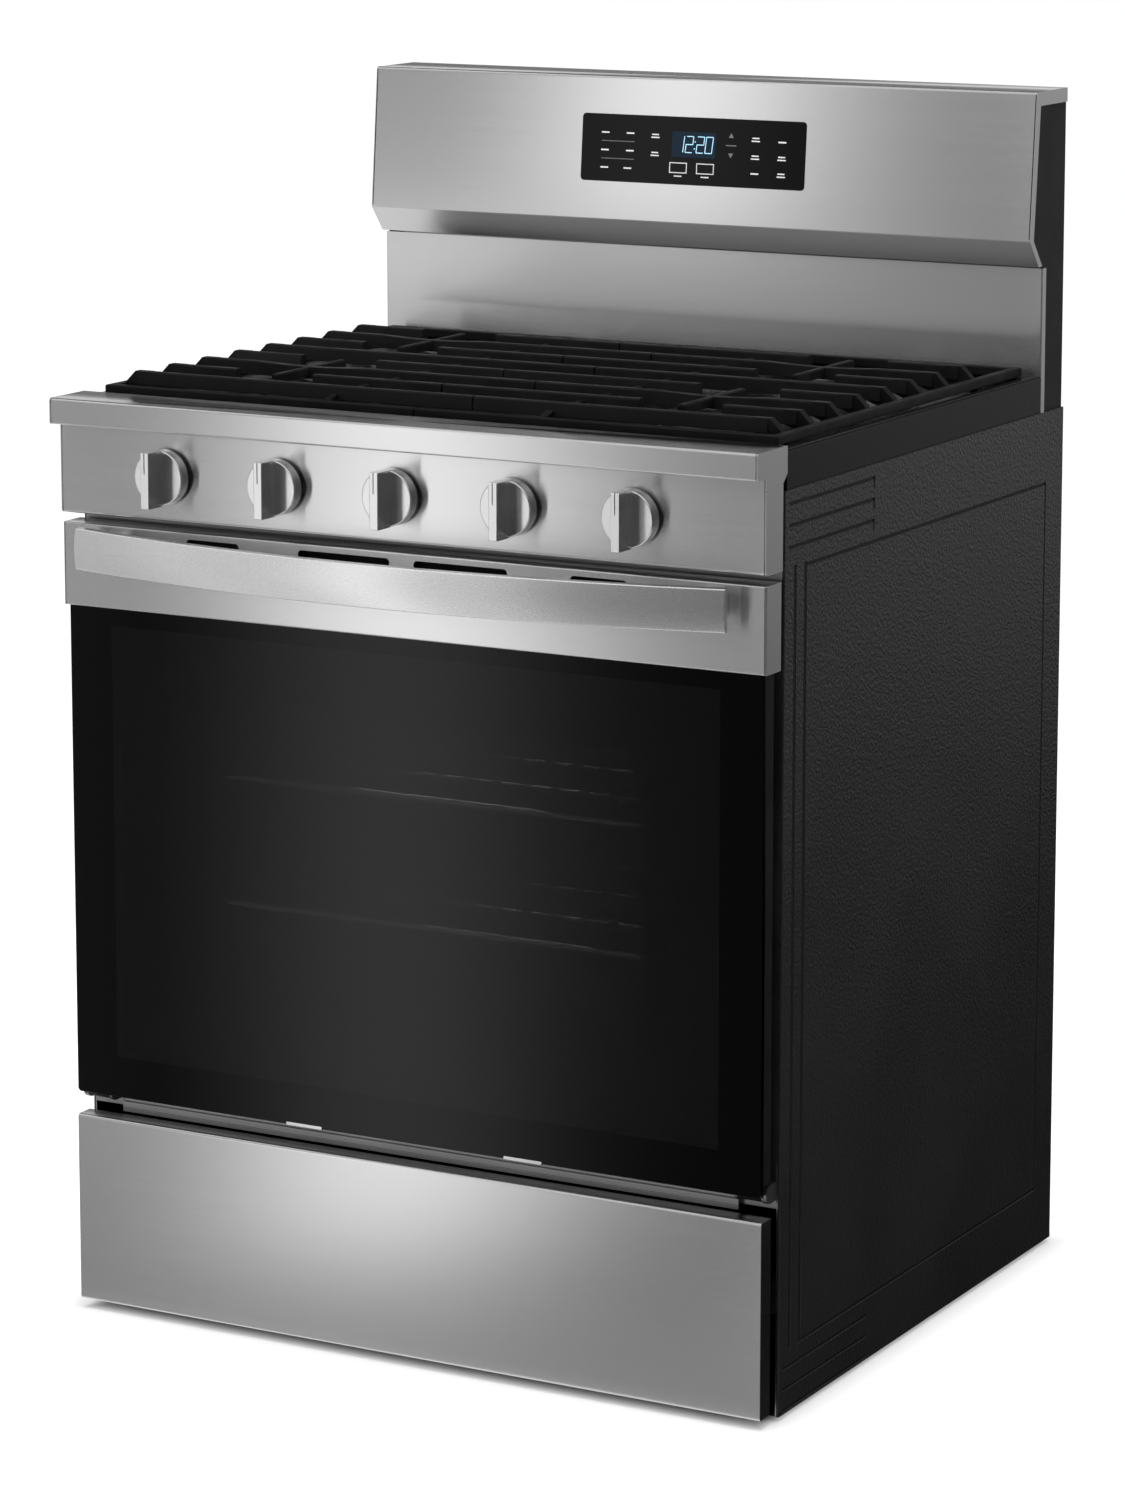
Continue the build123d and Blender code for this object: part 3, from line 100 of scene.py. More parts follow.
@dataclass(frozen=True)
class GlassFinish:
    """A clear or tinted glass."""

    name: str
    colour: Colour
    roughness: float
    transmission: float
    specular: float
    ior: float = 1.5
    wave_scale: float = 6.0
    tone_low: float = 0.93
    tone_high: float = 1.05
    rough_rise: float = 0.03


@dataclass(frozen=True)
class GlowFinish:
    """A mark that is lit from behind."""

    name: str
    colour: Colour
    strength: float
    mottle_scale: float = 300.0
    tone_low: float = 0.85
    roughness: float = 0.4
    specular: float = 0.2


STEEL = Finish(
    "brushed_stainless", (0.6, 0.6, 0.6), 0.23, Texture.BRUSHED, metallic=1.0, anisotropy=1.0,
    tone_depth=0.05, rough_depth=0.015, bump=0.012, bump_distance=0.0001,
)
HANDLE_STEEL = Finish(
    "handle_stainless", (0.95, 0.95, 0.95), 0.28, Texture.BRUSHED, metallic=1.0, anisotropy=0.1,
    tone_depth=0.03, rough_depth=0.02, bump=0.03, bump_distance=0.0001, edge_radius=0.0012,
)
KNOB_STEEL = Finish(
    "knob_satin_metal", (0.9, 0.9, 0.9), 0.25, Texture.SATIN, scale=30.0, metallic=1.0, tone_depth=0.03,
    rough_depth=0.02, bump=0.008,
)
SIDE_PAINT = Finish(
    "pebbled_black_side", (0.016, 0.016, 0.016), 0.34, Texture.PEBBLE, specular=0.35, tone_depth=0.06,
    rough_depth=0.03, bump=0.6, bump_distance=0.0014,
)
BLACK_PAINT = Finish(
    "satin_black_paint", (0.011, 0.011, 0.011), 0.42, Texture.SATIN, scale=14.0, specular=0.06,
    tone_depth=0.2, rough_depth=0.12, bump=0.05,
)
SILL_METAL = Finish(
    "satin_frame_metal", (0.3, 0.3, 0.3), 0.36, Texture.SATIN, scale=14.0, metallic=1.0,
    tone_depth=0.08, rough_depth=0.06, bump=0.03,
)
DECK_ENAMEL = Finish(
    "black_porcelain", (0.004, 0.004, 0.004), 0.26, Texture.ENAMEL, specular=0.12, tone_depth=0.3,
    rough_depth=0.06, bump=0.03,
)
OVEN_ENAMEL = Finish(
    "speckled_oven_enamel", (0.02, 0.022, 0.027), 0.3, Texture.ENAMEL, specular=0.4, tone_depth=0.9,
    rough_depth=0.08, bump=0.05,
)
IRON = Finish(
    "cast_iron", (0.007, 0.007, 0.007), 0.5, Texture.CAST, specular=0.12, tone_depth=0.35,
    rough_depth=0.16, bump=0.35, bump_distance=0.0005, edge_radius=0.0012,
)
CAP_ENAMEL = Finish(
    "burner_cap_enamel", (0.01, 0.01, 0.01), 0.35, Texture.CAST, specular=0.35, tone_depth=0.25,
    rough_depth=0.1, bump=0.1,
)
CAST_ALUMINIUM = Finish(
    "cast_aluminium", (0.42, 0.42, 0.42), 0.45, Texture.CAST, metallic=1.0, tone_depth=0.2,
    rough_depth=0.12, bump=0.2,
)
ZINC = Finish(
    "zinc_coated_sheet", (0.45, 0.46, 0.47), 0.42, Texture.SATIN, scale=45.0, metallic=1.0,
    tone_depth=0.1, rough_depth=0.05, bump=0.03,
)
WIRE = Finish(
    "plated_wire", (0.72, 0.72, 0.72), 0.2, Texture.SATIN, scale=40.0, metallic=1.0, tone_depth=0.1,
    rough_depth=0.1, bump=0.02,
)
TUBE_METAL = Finish(
    "bare_tube_metal", (0.55, 0.55, 0.55), 0.34, Texture.SATIN, scale=25.0, metallic=1.0,
    tone_depth=0.2, rough_depth=0.15, bump=0.04,
)
BRASS = Finish(
    "machined_brass", (0.62, 0.45, 0.19), 0.3, Texture.SATIN, scale=35.0, metallic=1.0, tone_depth=0.15,
    rough_depth=0.1, bump=0.03,
)
CERAMIC = Finish(
    "glazed_ceramic", (0.78, 0.76, 0.7), 0.28, Texture.SATIN, scale=50.0, tone_depth=0.08,
    rough_depth=0.08, bump=0.02,
)
MOULDED = Finish(
    "moulded_black_plastic", (0.014, 0.014, 0.014), 0.55, Texture.CAST, specular=0.4, tone_depth=0.15,
    rough_depth=0.08, bump=0.15,
)
BLANKET = Finish(
    "mineral_fibre", (0.6, 0.55, 0.4), 0.95, Texture.FIBRE, specular=0.1, tone_depth=0.4,
    rough_depth=0.03, bump=0.8, bump_distance=0.002,
)
BRAID = Finish(
    "woven_gasket", (0.05, 0.05, 0.05), 0.9, Texture.FIBRE, scale=2.0, specular=0.1, tone_depth=0.5,
    rough_depth=0.05, bump=0.9, bump_distance=0.001,
)
BOARD = Finish(
    "circuit_board", (0.02, 0.12, 0.05), 0.4, Texture.SATIN, scale=60.0, tone_depth=0.3,
    rough_depth=0.1, bump=0.05,
)
DOOR_GLASS = GlassFinish("door_black_glass", (0.11, 0.11, 0.11), 0.02, 1.0, 0.5, ior=1.27)
DISPLAY_GLASS = GlassFinish("display_black_glass", (0.004, 0.004, 0.004), 0.06, 0.0, 0.1)
CLEAR_GLASS = GlassFinish("clear_oven_glass", (0.86, 0.88, 0.88), 0.01, 1.0, 0.5)
CLOCK_GLOW = GlowFinish("clock_segments", (0.42, 0.72, 0.9), 0.85)
PANE_GLOW = GlowFinish("clock_pane", (0.004, 0.012, 0.022), 1.0)
LABEL_GLOW = GlowFinish("label_marks", (0.62, 0.62, 0.62), 0.75)
FAINT_GLOW = GlowFinish("faint_marks", (0.16, 0.16, 0.16), 0.6)


class TextureGroups:
    """Shader node groups for the surface textures, each built once and shared."""

    def __init__(self) -> None:
        """Start with no group built."""
        self.made: dict[Texture, Tree] = {}

    def get(self, texture: Texture) -> Tree:
        """Return the node group of a texture, building it the first time.

        Args:
            texture: which texture.

        Returns:
            The group, with a Scale input and the outputs Tone and Height.
        """
        if texture not in self.made:
            builders = {
                Texture.BRUSHED: self.brushed,
                Texture.PEBBLE: self.pebble,
                Texture.CAST: self.cast,
                Texture.ENAMEL: self.enamel,
                Texture.SATIN: self.satin,
                Texture.FIBRE: self.fibre,
            }
            tree = bpy.data.node_groups.new(texture.value, "ShaderNodeTree")
            for end, way in (("Scale", "INPUT"), ("Tone", "OUTPUT"), ("Height", "OUTPUT")):
                tree.interface.new_socket(end, in_out=way, socket_type="NodeSocketFloat")
            builders[texture](tree)
            self.made[texture] = tree
        return self.made[texture]

    @staticmethod
    def start(tree: Tree, stretch: tuple[float, float, float] = (1.0, 1.0, 1.0)) -> tuple[Node, Socket]:
        """Add the group's ends and its object coordinates.

        Args:
            tree: the group's tree.
            stretch: scale of the coordinates along X, Y and Z.

        Returns:
            The group's output node and the coordinates.
        """
        group_in = tree.nodes.new("NodeGroupInput")
        group_out = tree.nodes.new("NodeGroupOutput")
        coords = tree.nodes.new("ShaderNodeTexCoord")
        mapping = tree.nodes.new("ShaderNodeMapping")
        mapping.inputs["Scale"].default_value = stretch
        tree.links.new(coords.outputs["Object"], mapping.inputs["Vector"])
        grown = tree.nodes.new("ShaderNodeVectorMath")
        grown.operation = "SCALE"
        tree.links.new(mapping.outputs["Vector"], grown.inputs[0])
        tree.links.new(group_in.outputs["Scale"], grown.inputs["Scale"])
        return group_out, grown.outputs["Vector"]

    @staticmethod
    def noise(
        tree: Tree, vector: Socket, scale: float, detail: float = 3.0, roughness: float = 0.55
    ) -> Socket:
        """Add a noise texture.

        Args:
            tree: the group's tree.
            vector: coordinates to read.
            scale: size of the noise.
            detail: octaves of detail.
            roughness: weight of the finer octaves.

        Returns:
            The noise value.
        """
        node = tree.nodes.new("ShaderNodeTexNoise")
        node.inputs["Scale"].default_value = scale
        node.inputs["Detail"].default_value = detail
        node.inputs["Roughness"].default_value = roughness
        tree.links.new(vector, node.inputs["Vector"])
        return node.outputs["Fac"]

    @staticmethod
    def mix(tree: Tree, a: Socket, b: Socket, share: float) -> Socket:
        """Blend two values.

        Args:
            tree: the group's tree.
            a: first value.
            b: second value.
            share: share of the second value.

        Returns:
            The blended value.
        """
        node = tree.nodes.new("ShaderNodeMix")
        node.inputs["Factor"].default_value = share
        tree.links.new(a, node.inputs["A"])
        tree.links.new(b, node.inputs["B"])
        return node.outputs["Result"]

    @staticmethod
    def ramp(tree: Tree, value: Socket, low: float, high: float) -> Socket:
        """Stretch a band of a value to the whole range from 0 to 1.

        Args:
            tree: the group's tree.
            value: the value.
            low: what becomes 0.
            high: what becomes 1.

        Returns:
            The stretched value.
        """
        node = tree.nodes.new("ShaderNodeMapRange")
        node.interpolation_type = "SMOOTHSTEP"
        node.inputs["From Min"].default_value = low
        node.inputs["From Max"].default_value = high
        tree.links.new(value, node.inputs["Value"])
        return node.outputs["Result"]

    def brushed(self, tree: Tree) -> None:
        """Fine scratches along X, with faint slow streaks between them."""
        group_out, vector = self.start(tree, stretch=(26.0, 900.0, 900.0))
        scratches = self.noise(tree, vector, scale=4.0, detail=4.0, roughness=0.7)
        fine = self.ramp(tree, scratches, low=0.25, high=0.75)
        slow = self.ramp(tree, self.noise(tree, vector, scale=0.12, detail=2.0), low=0.3, high=0.7)
        tree.links.new(self.mix(tree, fine, slow, share=0.12), group_out.inputs["Tone"])
        tree.links.new(fine, group_out.inputs["Height"])

    def pebble(self, tree: Tree) -> None:
        """Rounded pebbles of a textured paint, about three millimetres across."""
        group_out, vector = self.start(tree)
        cells = tree.nodes.new("ShaderNodeTexVoronoi")
        cells.feature = "SMOOTH_F1"
        cells.inputs["Scale"].default_value = 330.0
        cells.inputs["Smoothness"].default_value = 0.8
        tree.links.new(vector, cells.inputs["Vector"])
        rough = self.noise(tree, vector, scale=240.0, detail=2.0)
        height = self.mix(tree, cells.outputs["Distance"], rough, share=0.5)
        cloud = self.ramp(tree, self.noise(tree, vector, scale=5.0), low=0.3, high=0.7)
        tree.links.new(cloud, group_out.inputs["Tone"])
        tree.links.new(height, group_out.inputs["Height"])

    def cast(self, tree: Tree) -> None:
        """Sandy skin of a casting."""
        group_out, vector = self.start(tree)
        sand = self.noise(tree, vector, scale=900.0, roughness=0.6)
        blotch = self.ramp(tree, self.noise(tree, vector, scale=35.0), low=0.35, high=0.7)
        tree.links.new(self.mix(tree, blotch, sand, share=0.35), group_out.inputs["Tone"])
        tree.links.new(sand, group_out.inputs["Height"])

    def enamel(self, tree: Tree) -> None:
        """Fine pale specks and slow waves of a fired enamel."""
        group_out, vector = self.start(tree)
        specks = self.ramp(tree, self.noise(tree, vector, scale=700.0, detail=1.0), low=0.62, high=0.72)
        waves = self.noise(tree, vector, scale=45.0, detail=2.0)
        tree.links.new(self.mix(tree, specks, waves, share=0.25), group_out.inputs["Tone"])
        tree.links.new(waves, group_out.inputs["Height"])

    def satin(self, tree: Tree) -> None:
        """Cloudy smudges with a fine tooth."""
        group_out, vector = self.start(tree)
        cloud = self.ramp(tree, self.noise(tree, vector, scale=1.0, detail=4.0), low=0.3, high=0.7)
        tooth = self.noise(tree, vector, scale=40.0, detail=2.0)
        tree.links.new(self.mix(tree, cloud, tooth, share=0.3), group_out.inputs["Tone"])
        tree.links.new(tooth, group_out.inputs["Height"])

    def fibre(self, tree: Tree) -> None:
        """Tangled strands."""
        group_out, vector = self.start(tree)
        strands = tree.nodes.new("ShaderNodeTexWave")
        strands.inputs["Scale"].default_value = 90.0
        strands.inputs["Distortion"].default_value = 9.0
        strands.inputs["Detail"].default_value = 3.0
        tree.links.new(vector, strands.inputs["Vector"])
        cloud = self.noise(tree, vector, scale=40.0)
        tree.links.new(self.mix(tree, cloud, strands.outputs["Fac"], share=0.5), group_out.inputs["Tone"])
        tree.links.new(strands.outputs["Fac"], group_out.inputs["Height"])


class FinishShop:
    """Makes each finish's material once and puts it on nodes and pieces."""

    grain_turn: float = 0.25
    edge_samples: int = 4
    least_roughness: float = 0.02

    def __init__(self) -> None:
        """Start with the texture groups and no materials."""
        self.groups = TextureGroups()
        self.made: dict[str, Material] = {}

    def material(self, finish: Finish | GlassFinish | GlowFinish) -> Material:
        """Return a finish's material, making it the first time.

        Args:
            finish: which finish.

        Returns:
            The material.
        """
        if finish.name not in self.made:
            if isinstance(finish, GlassFinish):
                self.made[finish.name] = self.glass(finish)
            elif isinstance(finish, GlowFinish):
                self.made[finish.name] = self.glow(finish)
            else:
                self.made[finish.name] = self.textured(finish)
        return self.made[finish.name]

    @staticmethod
    def blank(name: str) -> tuple[Material, Tree, Node]:
        """Make a material that holds only its Principled shader.

        Args:
            name: name of the material.

        Returns:
            The material, its tree and its Principled node.
        """
        material = bpy.data.materials.new(name)
        material.use_nodes = True
        tree = material.node_tree
        return material, tree, tree.nodes["Principled BSDF"]

    def grain(self, tree: Tree, texture: Texture, scale: float) -> Node:
        """Add a texture group to a material.

        Args:
            tree: the material's tree.
            texture: which texture.
            scale: its scale.

        Returns:
            The group's node.
        """
        group = tree.nodes.new("ShaderNodeGroup")
        group.node_tree = self.groups.get(texture)
        group.inputs["Scale"].default_value = scale
        return group

    @staticmethod
    def tint(tree: Tree, group: Node, colour: Colour, low: float, high: float) -> Socket:
        """Vary a colour by a group's tone.

        Args:
            tree: the material's tree.
            group: the texture group's node.
            colour: the plain colour.
            low: share of the colour where the tone is 0.
            high: share of the colour where the tone is 1.

        Returns:
            The varied colour.
        """
        blend = tree.nodes.new("ShaderNodeMix")
        blend.data_type = "RGBA"
        dark, light = ([min(1.0, c * share) for c in colour] for share in (low, high))
        first, second = (socket for socket in blend.inputs if socket.type == "RGBA")
        first.default_value = (*dark, 1.0)
        second.default_value = (*light, 1.0)
        tree.links.new(group.outputs["Tone"], blend.inputs["Factor"])
        return next(socket for socket in blend.outputs if socket.type == "RGBA")

    @staticmethod
    def vary_roughness(tree: Tree, group: Node, shader: Node, low: float, high: float) -> None:
        """Vary a shader's roughness by a group's tone.

        Args:
            tree: the material's tree.
            group: the texture group's node.
            shader: the Principled node.
            low: roughness where the tone is 0.
            high: roughness where the tone is 1.
        """
        rough = tree.nodes.new("ShaderNodeMapRange")
        rough.inputs["To Min"].default_value = low
        rough.inputs["To Max"].default_value = high
        tree.links.new(group.outputs["Tone"], rough.inputs["Value"])
        tree.links.new(rough.outputs["Result"], shader.inputs["Roughness"])

    def textured(self, finish: Finish) -> Material:
        """Make a material whose colour, roughness and bump follow its texture group.

        Args:
            finish: the finish.

        Returns:
            The material.
        """
        material, tree, shader = self.blank(finish.name)
        shader.inputs["Metallic"].default_value = finish.metallic
        shader.inputs["Specular IOR Level"].default_value = finish.specular
        shader.inputs["Anisotropic"].default_value = finish.anisotropy
        shader.inputs["Anisotropic Rotation"].default_value = self.grain_turn
        group = self.grain(tree, finish.texture, finish.scale)
        colour = self.tint(tree, group, finish.colour, 1.0 - finish.tone_depth, 1.0 + finish.tone_depth)
        tree.links.new(colour, shader.inputs["Base Color"])
        smooth = max(self.least_roughness, finish.roughness - finish.rough_depth)
        self.vary_roughness(tree, group, shader, smooth, min(1.0, finish.roughness + finish.rough_depth))
        bump = tree.nodes.new("ShaderNodeBump")
        bump.inputs["Strength"].default_value = finish.bump
        bump.inputs["Distance"].default_value = finish.bump_distance
        tree.links.new(group.outputs["Height"], bump.inputs["Height"])
        if finish.edge_radius:
            edge = tree.nodes.new("ShaderNodeBevel")
            edge.samples = self.edge_samples
            edge.inputs["Radius"].default_value = finish.edge_radius
            tree.links.new(edge.outputs["Normal"], bump.inputs["Normal"])
        tree.links.new(bump.outputs["Normal"], shader.inputs["Normal"])
        if finish.anisotropy:
            tangent = tree.nodes.new("ShaderNodeTangent")
            tangent.direction_type = "RADIAL"
            tangent.axis = "Z"
            tree.links.new(tangent.outputs["Tangent"], shader.inputs["Tangent"])
        return material

    def glass(self, finish: GlassFinish) -> Material:
        """Make a glass whose tint and polish vary a little.

        Args:
            finish: the finish.

        Returns:
            The material.
        """
        material, tree, shader = self.blank(finish.name)
        shader.inputs["Transmission Weight"].default_value = finish.transmission
        shader.inputs["Specular IOR Level"].default_value = finish.specular
        shader.inputs["IOR"].default_value = finish.ior
        group = self.grain(tree, Texture.SATIN, finish.wave_scale)
        colour = self.tint(tree, group, finish.colour, finish.tone_low, finish.tone_high)
        tree.links.new(colour, shader.inputs["Base Color"])
        self.vary_roughness(tree, group, shader, finish.roughness, finish.roughness + finish.rough_rise)
        return material

    def glow(self, finish: GlowFinish) -> Material:
        """Make a lit mark with a slightly uneven colour.

        Args:
            finish: the finish.

        Returns:
            The material.
        """
        material, tree, shader = self.blank(finish.name)
        shader.inputs["Roughness"].default_value = finish.roughness
        shader.inputs["Specular IOR Level"].default_value = finish.specular
        shader.inputs["Emission Strength"].default_value = finish.strength
        group = self.grain(tree, Texture.SATIN, finish.mottle_scale)
        colour = self.tint(tree, group, finish.colour, finish.tone_low, 1.0)
        tree.links.new(colour, shader.inputs["Base Color"])
        tree.links.new(colour, shader.inputs["Emission Color"])
        return material

    def dress(self, finish: Finish | GlassFinish | GlowFinish, *nodes: str) -> None:
        """Put one finish on several CAD nodes.

        Args:
            finish: the finish.
            nodes: names of the nodes.
        """
        for name in nodes:
            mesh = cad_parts[name].data
            if mesh.materials:
                mesh.materials[0] = self.material(finish)
            else:
                mesh.materials.append(self.material(finish))
            log.info("%s wears %s", name, finish.name)


def add_box(work: BMesh, low: Vector, high: Vector, bevel: float = 0.0) -> None:
    """Add a box to a bmesh, with its edges rounded if asked.

    Args:
        work: the bmesh.
        low: lowest corner.
        high: highest corner.
        bevel: width of the rounding, in metres.
    """
    size = high - low
    place = Matrix.Translation((low + high) / 2) @ Matrix.Diagonal((*size, 1.0))
    verts = bmesh.ops.create_cube(work, size=1.0, matrix=place)["verts"]
    if bevel:
        edges = list({edge for vert in verts for edge in vert.link_edges})
        bmesh.ops.bevel(
            work, geom=edges, offset=bevel, affect="EDGES", segments=2, profile=0.5, material=-1
        )


def finish_piece(
    work: BMesh,
    name: str,
    body: str,
    material: Material,
    place: Matrix | None = None,
) -> None:
    """Turn a bmesh into a piece that rides on a body.

    Args:
        work: the bmesh, freed here.
        name: name of the piece.
        body: body that carries it.
        material: its material.
        place: where its own frame goes, if it isn't in place yet.
    """
    if place is not None:
        bmesh.ops.transform(work, matrix=place, verts=work.verts)
    bmesh.ops.recalc_face_normals(work, faces=work.faces)
    mesh = bpy.data.meshes.new(name)
    work.to_mesh(mesh)
    work.free()
    mesh.materials.append(material)
    piece = bpy.data.objects.new(name, mesh)
    bpy.context.scene.collection.objects.link(piece)
    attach(piece, body)
    log.info("%s rides on %s", name, body)


@dataclass
class SubAssembly:
    """A group of nodes that is dressed together and may add pieces of its own."""

    shop: FinishShop

    def dress(self) -> None:
        """Put the finishes on the nodes."""
        raise NotImplementedError

    def build(self) -> None:
        """Add the group's own pieces, where it has any."""


@dataclass
class Body(SubAssembly):
    """Fixed outside of the range, with the ribbed strip over the drawer and black strips of painted shade in
    the pressed lines.
    """

    rib_count: int = 3
    rib_height: float = 0.00115
    rib_pitch: float = 0.0016
    rib_reach: float = 0.34
    rib_depth: float = 0.003
    groove: float = 0.0008
    drawer_clear: float = 0.0008
    border_front: float = 0.0464
    border_rear: float = 0.043
    border_top: float = 0.0727
    border_bottom: float = 0.0623
    line_inset: float = 0.01
    line_length: float = 0.177
    line_count: int = 3
    line_pitch: float = 0.02
    line_tick: float = 0.008
    line_size: tuple[float, float] = (0.0036, 0.001)
    deep_lines: tuple[float, ...] = (0.0216, 0.0428)
    deep_size: tuple[float, float] = (0.006, 0.0017)
    shade_width: float = 0.75
    shade_fill: float = 0.6
    skirt_shade_height: float = 0.0012

    def dress(self) -> None:
        """Put the finishes on the fixed outside."""
        self.shop.dress(SIDE_PAINT, "side_panel_left", "side_panel_right")
        self.shop.dress(BLACK_PAINT, "base_frame")
        self.shop.dress(SILL_METAL, "front_frame", "hinge_receivers")
        self.shop.dress(ZINC, "rear_panel", "drawer_rails", "rear_screws")
        self.shop.dress(MOULDED, "levelling_feet", "cord_gland")

    def build(self) -> None:
        """Add the ribbed strip that closes the gap over the drawer, and black strips of painted shade in the
        pressed lines and under the deck's skirt.
        """
        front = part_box("front_frame")[0].y
        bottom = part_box("drawer_front")[1].z + self.drawer_clear
        rear = front + self.rib_depth
        work = bmesh.new()
        for number in range(self.rib_count):
            low = Vector((-self.rib_reach, front, bottom + number * self.rib_pitch))
            high = Vector((self.rib_reach, rear, low.z + self.rib_height))
            add_box(work, low, high, EDGE_ROUND)
        top = bottom + self.rib_count * self.rib_pitch
        web = front + self.groove
        add_box(work, Vector((-self.rib_reach, web, bottom)), Vector((self.rib_reach, rear, top)))
        finish_piece(work, "sill_ribs", "chassis", self.shop.material(SILL_METAL))
        # Black strips in the side panels' pressed lines and along the skirt's seam are painted shade.
        work = bmesh.new()
        for name, side in (("side_panel_left", -1), ("side_panel_right", 1)):
            self.paint_crease_shade(work, name, side)
        finish_piece(work, "side_crease_shade", "chassis", self.shop.material(BLACK_PAINT))

    def paint_crease_shade(self, work: BMesh, name: str, side: int) -> None:
        """Add black strips of painted shade near the bottom of one side panel's pressed lines, and a painted
        shade line along the seam under the deck's skirt.

        Args:
            work: the bmesh.
            name: name of the side panel.
            side: 1 for the right panel, -1 for the left one.
        """
        low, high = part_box(name)
        front, rear = low.y + self.border_front, high.y - self.border_rear
        bottom, top = low.z + self.border_bottom, high.z - self.border_top
        start = low.y + self.line_inset
        stop = start + self.line_length
        lines = [(front, top, rear, top), (rear, bottom, rear, top), (front, bottom, rear, bottom)]
        for number in range(1, self.line_count + 1):
            level = top + number * self.line_pitch
            lines.append((start, level, stop, level))
            lines.append((stop, level - self.line_tick, stop, level))
            level = bottom - number * self.line_pitch + self.line_size[0] / 2
            lines.append((start, level, stop, level))
        sized = [(line, *self.line_size) for line in lines]
        for place in self.deep_lines:
            sized.append(((low.y + place, bottom, low.y + place, top), *self.deep_size))
        face = max(abs(low.x), abs(high.x))
        # Each groove gets a black strip near its bottom: painted shade.
        for (y0, z0, y1, z1), width, depth in sized:
            half = width * self.shade_width / 2
            near, far = sorted((side * (face - depth), side * (face - depth * (1.0 - self.shade_fill))))
            add_box(work, Vector((near, y0 - half, z0 - half)), Vector((far, y1 + half, z1 + half)))
        # A black strip along the seam under the deck's skirt: painted shade of the gap.
        deck_low, deck_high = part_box("cooktop_deck")
        near, far = sorted((side * (deck_high.x - self.skirt_shade_height), side * face))
        seam_low = Vector((near, deck_low.y, high.z))
        add_box(work, seam_low, Vector((far, deck_high.y, high.z + self.skirt_shade_height)))


@dataclass
class OvenInside(SubAssembly):
    """Cavity, racks, burners and fan."""

    def dress(self) -> None:
        """Put the finishes on everything inside the oven."""
        self.shop.dress(OVEN_ENAMEL, "oven_cavity", "oven_floor", "fan_cover")
        self.shop.dress(WIRE, "oven_rack_upper", "oven_rack_lower")
        self.shop.dress(TUBE_METAL, "bake_burner", "broil_burner", "convection_fan")
        self.shop.dress(ZINC, "fan_motor")
        self.shop.dress(CLEAR_GLASS, "oven_lamp")
        self.shop.dress(BLANKET, "oven_insulation")
        self.shop.dress(BRAID, "oven_gasket")


@dataclass
class Door(SubAssembly):
    """Oven door with its trim, glass and handle, and the two clips under its glass."""

    clip_spans: tuple[tuple[float, float], ...] = ((-0.134, -0.094), (0.106, 0.147))
    clip_sheet: float = 0.0008
    clip_rise: float = 0.0028

    def dress(self) -> None:
        """Put the finishes on the door."""
        self.shop.dress(STEEL, "door_trim")
        self.shop.dress(HANDLE_STEEL, "door_handle")
        self.shop.dress(DOOR_GLASS, "door_glass")
        self.shop.dress(CLEAR_GLASS, "window_glass")
        self.shop.dress(BLACK_PAINT, "door_frame", "hinge_arms")
        self.shop.dress(OVEN_ENAMEL, "door_liner")

    def build(self) -> None:
        """Add the bright clips that hold the bottom edge of the glass."""
        low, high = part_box("door_glass")
        work = bmesh.new()
        for start, stop in self.clip_spans:
            corner = Vector((start, low.y - self.clip_sheet, low.z - self.clip_sheet))
            add_box(work, corner, Vector((stop, high.y, low.z)), EDGE_ROUND)
            add_box(work, corner, Vector((stop, low.y, low.z + self.clip_rise)), EDGE_ROUND)
        finish_piece(work, "glass_clips", "door", self.shop.material(STEEL))


@dataclass
class Drawer(SubAssembly):
    """Storage drawer."""

    def dress(self) -> None:
        """Put the finishes on the drawer."""
        self.shop.dress(STEEL, "drawer_front")
        self.shop.dress(BLACK_PAINT, "drawer_tray")
        self.shop.dress(ZINC, "drawer_runners")


@dataclass
class Cooktop(SubAssembly):
    """Deck, burners, igniters and grates."""

    def dress(self) -> None:
        """Put the finishes on the cooktop."""
        self.shop.dress(DECK_ENAMEL, "cooktop_deck")
        self.shop.dress(CAST_ALUMINIUM, "burner_heads")
        self.shop.dress(CAP_ENAMEL, "burner_caps")
        self.shop.dress(CERAMIC, "spark_igniters")
        self.shop.dress(IRON, "grate_left", "grate_right")


@dataclass
class ControlRow(SubAssembly):
    """Control panel, knobs and the gas train behind them."""

    knobs: int = 5

    def dress(self) -> None:
        """Put the finishes on the control panel, knobs and gas train."""
        self.shop.dress(STEEL, "control_panel", "panel_end_caps")
        for number in range(1, self.knobs + 1):
            self.shop.dress(KNOB_STEEL, f"knob_{number}")
            self.shop.dress(BRASS, f"valve_plug_{number}")
        self.shop.dress(TUBE_METAL, "gas_manifold", "supply_tubes")
        self.shop.dress(BRASS, "burner_valves")
        self.shop.dress(CAST_ALUMINIUM, "pressure_regulator")


